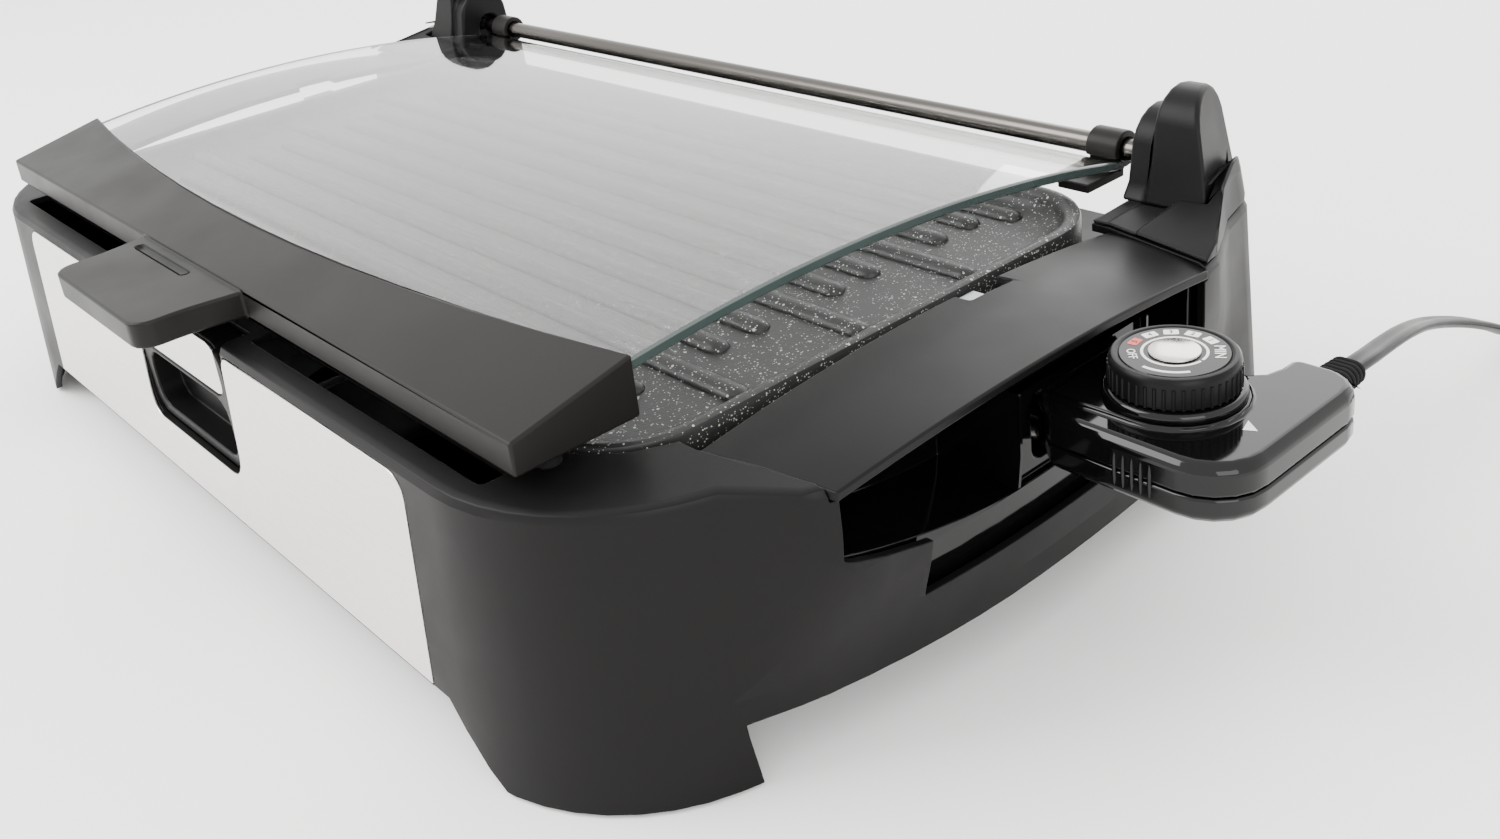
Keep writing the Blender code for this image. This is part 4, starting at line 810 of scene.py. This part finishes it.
def word(text, size, centre, turn):
    """Printed letters or numbers: a thin raised mesh, its middle at centre, turned about the vertical."""
    curve = bpy.data.curves.new("print", "FONT")
    curve.body, curve.size, curve.extrude = text, size, 0.6 * INK
    curve.align_x, curve.align_y = "CENTER", "CENTER"
    curve.resolution_u = 3
    obj = bpy.data.objects.new("print", curve)
    bpy.context.scene.collection.objects.link(obj)
    mesh = baked(obj)
    mesh.transform(Matrix.Translation(centre) @ Matrix.Rotation(turn, 4, "Z"))
    return mesh


def around_knob(degrees, radius, height=0.0):
    a = math.radians(degrees)
    return KNOB + Vector((radius * math.cos(a), radius * math.sin(a), height))


def make_knob():
    sizes = bpy.context.scene.griddle_sizes
    r, top = KNOB_RADIUS, KNOB.z
    low = 0.0938
    profile = [(0.0060, low), (r - 0.0010, low), (r - 0.0004, low + 0.0004), (r - 0.0004, top - 0.0024),
               (r - 0.0006, top - 0.0010), (r - 0.0013, top - 0.0002), (r - 0.0022, top), (r - 0.0030, top - 0.0002),
               (r - 0.0034, top - 0.0006), (0.0060, top - 0.0006)]
    parts = [turned(profile, 96)]
    parts.append(grown(ring_tree(), count=sizes.knurls, radius=r - 0.0006, ridge=0.00062, height=0.0066,
                       centre=Vector((KNOB.x, KNOB.y, 0.0972)), material="abs_knob"))
    put("knob_body", joined(parts), "knob", ["abs_knob"], ["knob"], 35)
    face = turned([(0.0060, top - 0.0005), (r - 0.0034, top - 0.0005), (r - 0.0036, top - 0.0002),
                   (0.0060, top - 0.0002)], 96)
    put("dial_face", face, "knob", ["dial_gloss_black"], ["knob_dial"], 35)
    disc = turned([(0.0040, top - 0.0002), (0.0073, top - 0.0002), (0.0075, top + 0.0001), (0.0074, top + 0.0005),
                   (0.0069, top + 0.0008), (0.0020, top + 0.0009)])
    put("dial_disc", disc, "knob", ["stainless_spun_disc"], ["knob_cap"], 35)
    make_dial_print(top - 0.0002)
    paint(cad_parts["knob_spindle"], "zinc_plated_steel")


def inked(outline, height):
    return loft([[Vector((p.x, p.y, height + lift)) for p in outline] for lift in (0, INK)])


def ring_strip(inner, outer, start, end, height):
    """A printed arc."""
    steps = max(6, int(abs(end - start) / 4))
    near = [around_knob(start + (end - start) * i / steps, inner) for i in range(steps + 1)]
    far = [around_knob(start + (end - start) * i / steps, outer) for i in range(steps + 1)]
    return inked(near + far[::-1], height)


def make_dial_print(height):
    """Numbers in a row of boxes from high to low, OFF after the highest, and a ring round the disc."""
    white = [ring_strip(0.0088, 0.0096, 0, 354, height), ring_strip(0.0126, 0.0136, -98, -38, height)]
    red, dark = [], []
    low = height - KNOB.z  # around_knob counts heights from the knob's top
    for mark in range(5):
        degrees = 186 - 29 * mark
        turn = math.radians(degrees - 90)
        place = Matrix.Translation(around_knob(degrees, 0.0126)) @ Matrix.Rotation(turn, 4, "Z")
        box = [place @ Vector((x, y, 0)) for x, y in rounded((-0.0022, -0.0015), (0.0022, 0.0015), 0.0004, 3)]
        (white if mark else red).append(inked(box, height))
        dark.append(word(str(5 - mark), 0.0026, around_knob(degrees, 0.0126, low + 0.00012), turn))
    white.append(word("MIN", 0.0046, around_knob(34, 0.0124, low + INK), math.radians(34 - 90)))
    white.append(word("OFF", 0.0036, around_knob(224, 0.0122, low + INK), math.radians(224 + 90)))
    for name, meshes, look in (("dial_print_white", white, "ink_white"), ("dial_print_red", red, "ink_red"),
                               ("dial_numbers", dark, "dial_gloss_black")):
        put(name, joined(meshes), "knob", [look], angle=30)


# Stage -------------------------------------------------------------------------------------------
def make_stage():
    for name in ("Cube", "Light", "Camera"):
        if name in bpy.data.objects:
            bpy.data.objects.remove(bpy.data.objects[name])
    data = bpy.data.cameras.new("camera")
    data.lens, data.sensor_width = 35.306, 36
    data.shift_x, data.shift_y = 0.0352, -0.1004
    camera = bpy.data.objects.new("camera", data)
    camera.location = (0.50325, -0.30142, 0.3081)
    camera.rotation_euler = Euler([math.radians(a) for a in (66.987, 7.0058, 49.886)])
    bpy.context.scene.collection.objects.link(camera)
    bpy.context.scene.camera = camera
    square = mesh_of(lambda bm: bmesh.ops.create_grid(bm, size=6.0, x_segments=1, y_segments=1))
    floor = bpy.data.objects.new("floor", square)
    floor.data.transform(Matrix.Translation((0, 0, -0.0002)))
    for face in floor.data.polygons:
        if face.normal.z < 0:
            floor.data.flip_normals()
    bpy.context.scene.collection.objects.link(floor)
    made, _, _ = start_material("stage_floor", bpy.context.scene.griddle_colours.floor, 0.75)
    floor.data.materials.append(made)
    world = bpy.data.worlds.new("studio")
    world.use_nodes = True
    backdrop = world.node_tree.nodes["Background"]
    backdrop.inputs["Color"].default_value = (1.0, 0.995, 0.985, 1)
    backdrop.inputs["Strength"].default_value = 2.5
    bpy.context.scene.world = world
    # Where each soft light hangs, what it looks at, its size and its power.
    lights = (
        ("key", (-0.9, -1.2, 1.5), (0, 0, 0.05), 1.3, 60),
        ("fill", (1.6, -0.7, 0.7), (0.1, 0, 0.05), 1.0, 16),
        ("back", (-0.3, 1.7, 1.1), (0, 0, 0.1), 1.8, 30),
    )
    for name, place, aim, size, power in lights:
        light = bpy.data.lights.new(name, "AREA")
        light.shape, light.size, light.energy = "SQUARE", size, power
        obj = bpy.data.objects.new(name, light)
        obj.location = place
        obj.rotation_euler = (Vector(aim) - Vector(place)).to_track_quat("-Z", "Y").to_euler()
        bpy.context.scene.collection.objects.link(obj)


class Maker:
    """What every operator here does: it runs the functions that make its group of pieces."""

    def execute(self, context):
        for make in self.makers:
            make()
        return {"FINISHED"}


class MakeStage(Maker, bpy.types.Operator):
    """Add the floor, the studio light and the camera."""
    bl_idname = "griddle.stage"
    bl_label = "Stage"
    makers = (make_stage,)


class MakeFinishes(Maker, bpy.types.Operator):
    """Make the materials."""
    bl_idname = "griddle.finishes"
    bl_label = "Finishes"
    makers = (make_materials,)


class MakeCord(Maker, bpy.types.Operator):
    """Make the flat cord, its coil and tie, and the plug."""
    bl_idname = "griddle.cord"
    bl_label = "Cord and plug"
    makers = (make_cord,)


class MakeHousing(Maker, bpy.types.Operator):
    """Make the housing, its base cover and feet, and the front panel."""
    bl_idname = "griddle.housing"
    bl_label = "Housing"
    makers = (make_housing, make_panel)


class MakeHandles(Maker, bpy.types.Operator):
    """Make the handle covers, the recesses under them and the plate's clips."""
    bl_idname = "griddle.handles"
    bl_label = "Handles"
    makers = (make_handles,)


class MakeHinges(Maker, bpy.types.Operator):
    """Make the hinge blocks and their domed caps."""
    bl_idname = "griddle.hinges"
    bl_label = "Hinges"
    makers = (make_hinges,)


class MakePlate(Maker, bpy.types.Operator):
    """Make the ribbed plate, and what is under it."""
    bl_idname = "griddle.plate"
    bl_label = "Plate"
    makers = (make_plate, make_inside)


class MakeLid(Maker, bpy.types.Operator):
    """Make the glass lid with its grip, rail and arms."""
    bl_idname = "griddle.lid"
    bl_label = "Lid"
    makers = (make_lid,)


class MakeTray(Maker, bpy.types.Operator):
    """Make the drip tray and its pull."""
    bl_idname = "griddle.tray"
    bl_label = "Drip tray"
    makers = (make_tray,)


class MakeProbe(Maker, bpy.types.Operator):
    """Make the thermostat probe and its strain relief."""
    bl_idname = "griddle.probe"
    bl_label = "Thermostat probe"
    makers = (make_probe, make_relief)


class MakeKnob(Maker, bpy.types.Operator):
    """Make the temperature knob and its dial."""
    bl_idname = "griddle.knob"
    bl_label = "Knob"
    makers = (make_knob,)


STEPS = (MakeFinishes, MakeStage, MakeCord, MakeHousing, MakeHandles, MakeHinges, MakePlate, MakeLid, MakeTray,
         MakeProbe, MakeKnob)


class GriddlePanel(bpy.types.Panel):
    """Sizes, colours and one button for each group of pieces."""
    bl_idname = "VIEW3D_PT_griddle"
    bl_label = "Electric griddle"
    bl_space_type = "VIEW_3D"
    bl_region_type = "UI"
    bl_category = "Griddle"

    def draw(self, context):
        for settings in (context.scene.griddle_sizes, context.scene.griddle_colours):
            for name in settings.__annotations__:
                self.layout.prop(settings, name)
        for step in STEPS:
            self.layout.operator(step.bl_idname)


CLASSES = (GriddleColours, GriddleSizes, *STEPS, GriddlePanel)


def register():
    for cls in CLASSES:
        bpy.utils.register_class(cls)
    bpy.types.Scene.griddle_colours = bpy.props.PointerProperty(type=GriddleColours)
    bpy.types.Scene.griddle_sizes = bpy.props.PointerProperty(type=GriddleSizes)


def unregister():
    del bpy.types.Scene.griddle_sizes
    del bpy.types.Scene.griddle_colours
    for cls in reversed(CLASSES):
        bpy.utils.unregister_class(cls)


def main():
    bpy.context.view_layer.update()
    register()
    for step in STEPS:
        group, name = step.bl_idname.split(".")
        getattr(getattr(bpy.ops, group), name)()


if __name__ == "__main__":
    main()
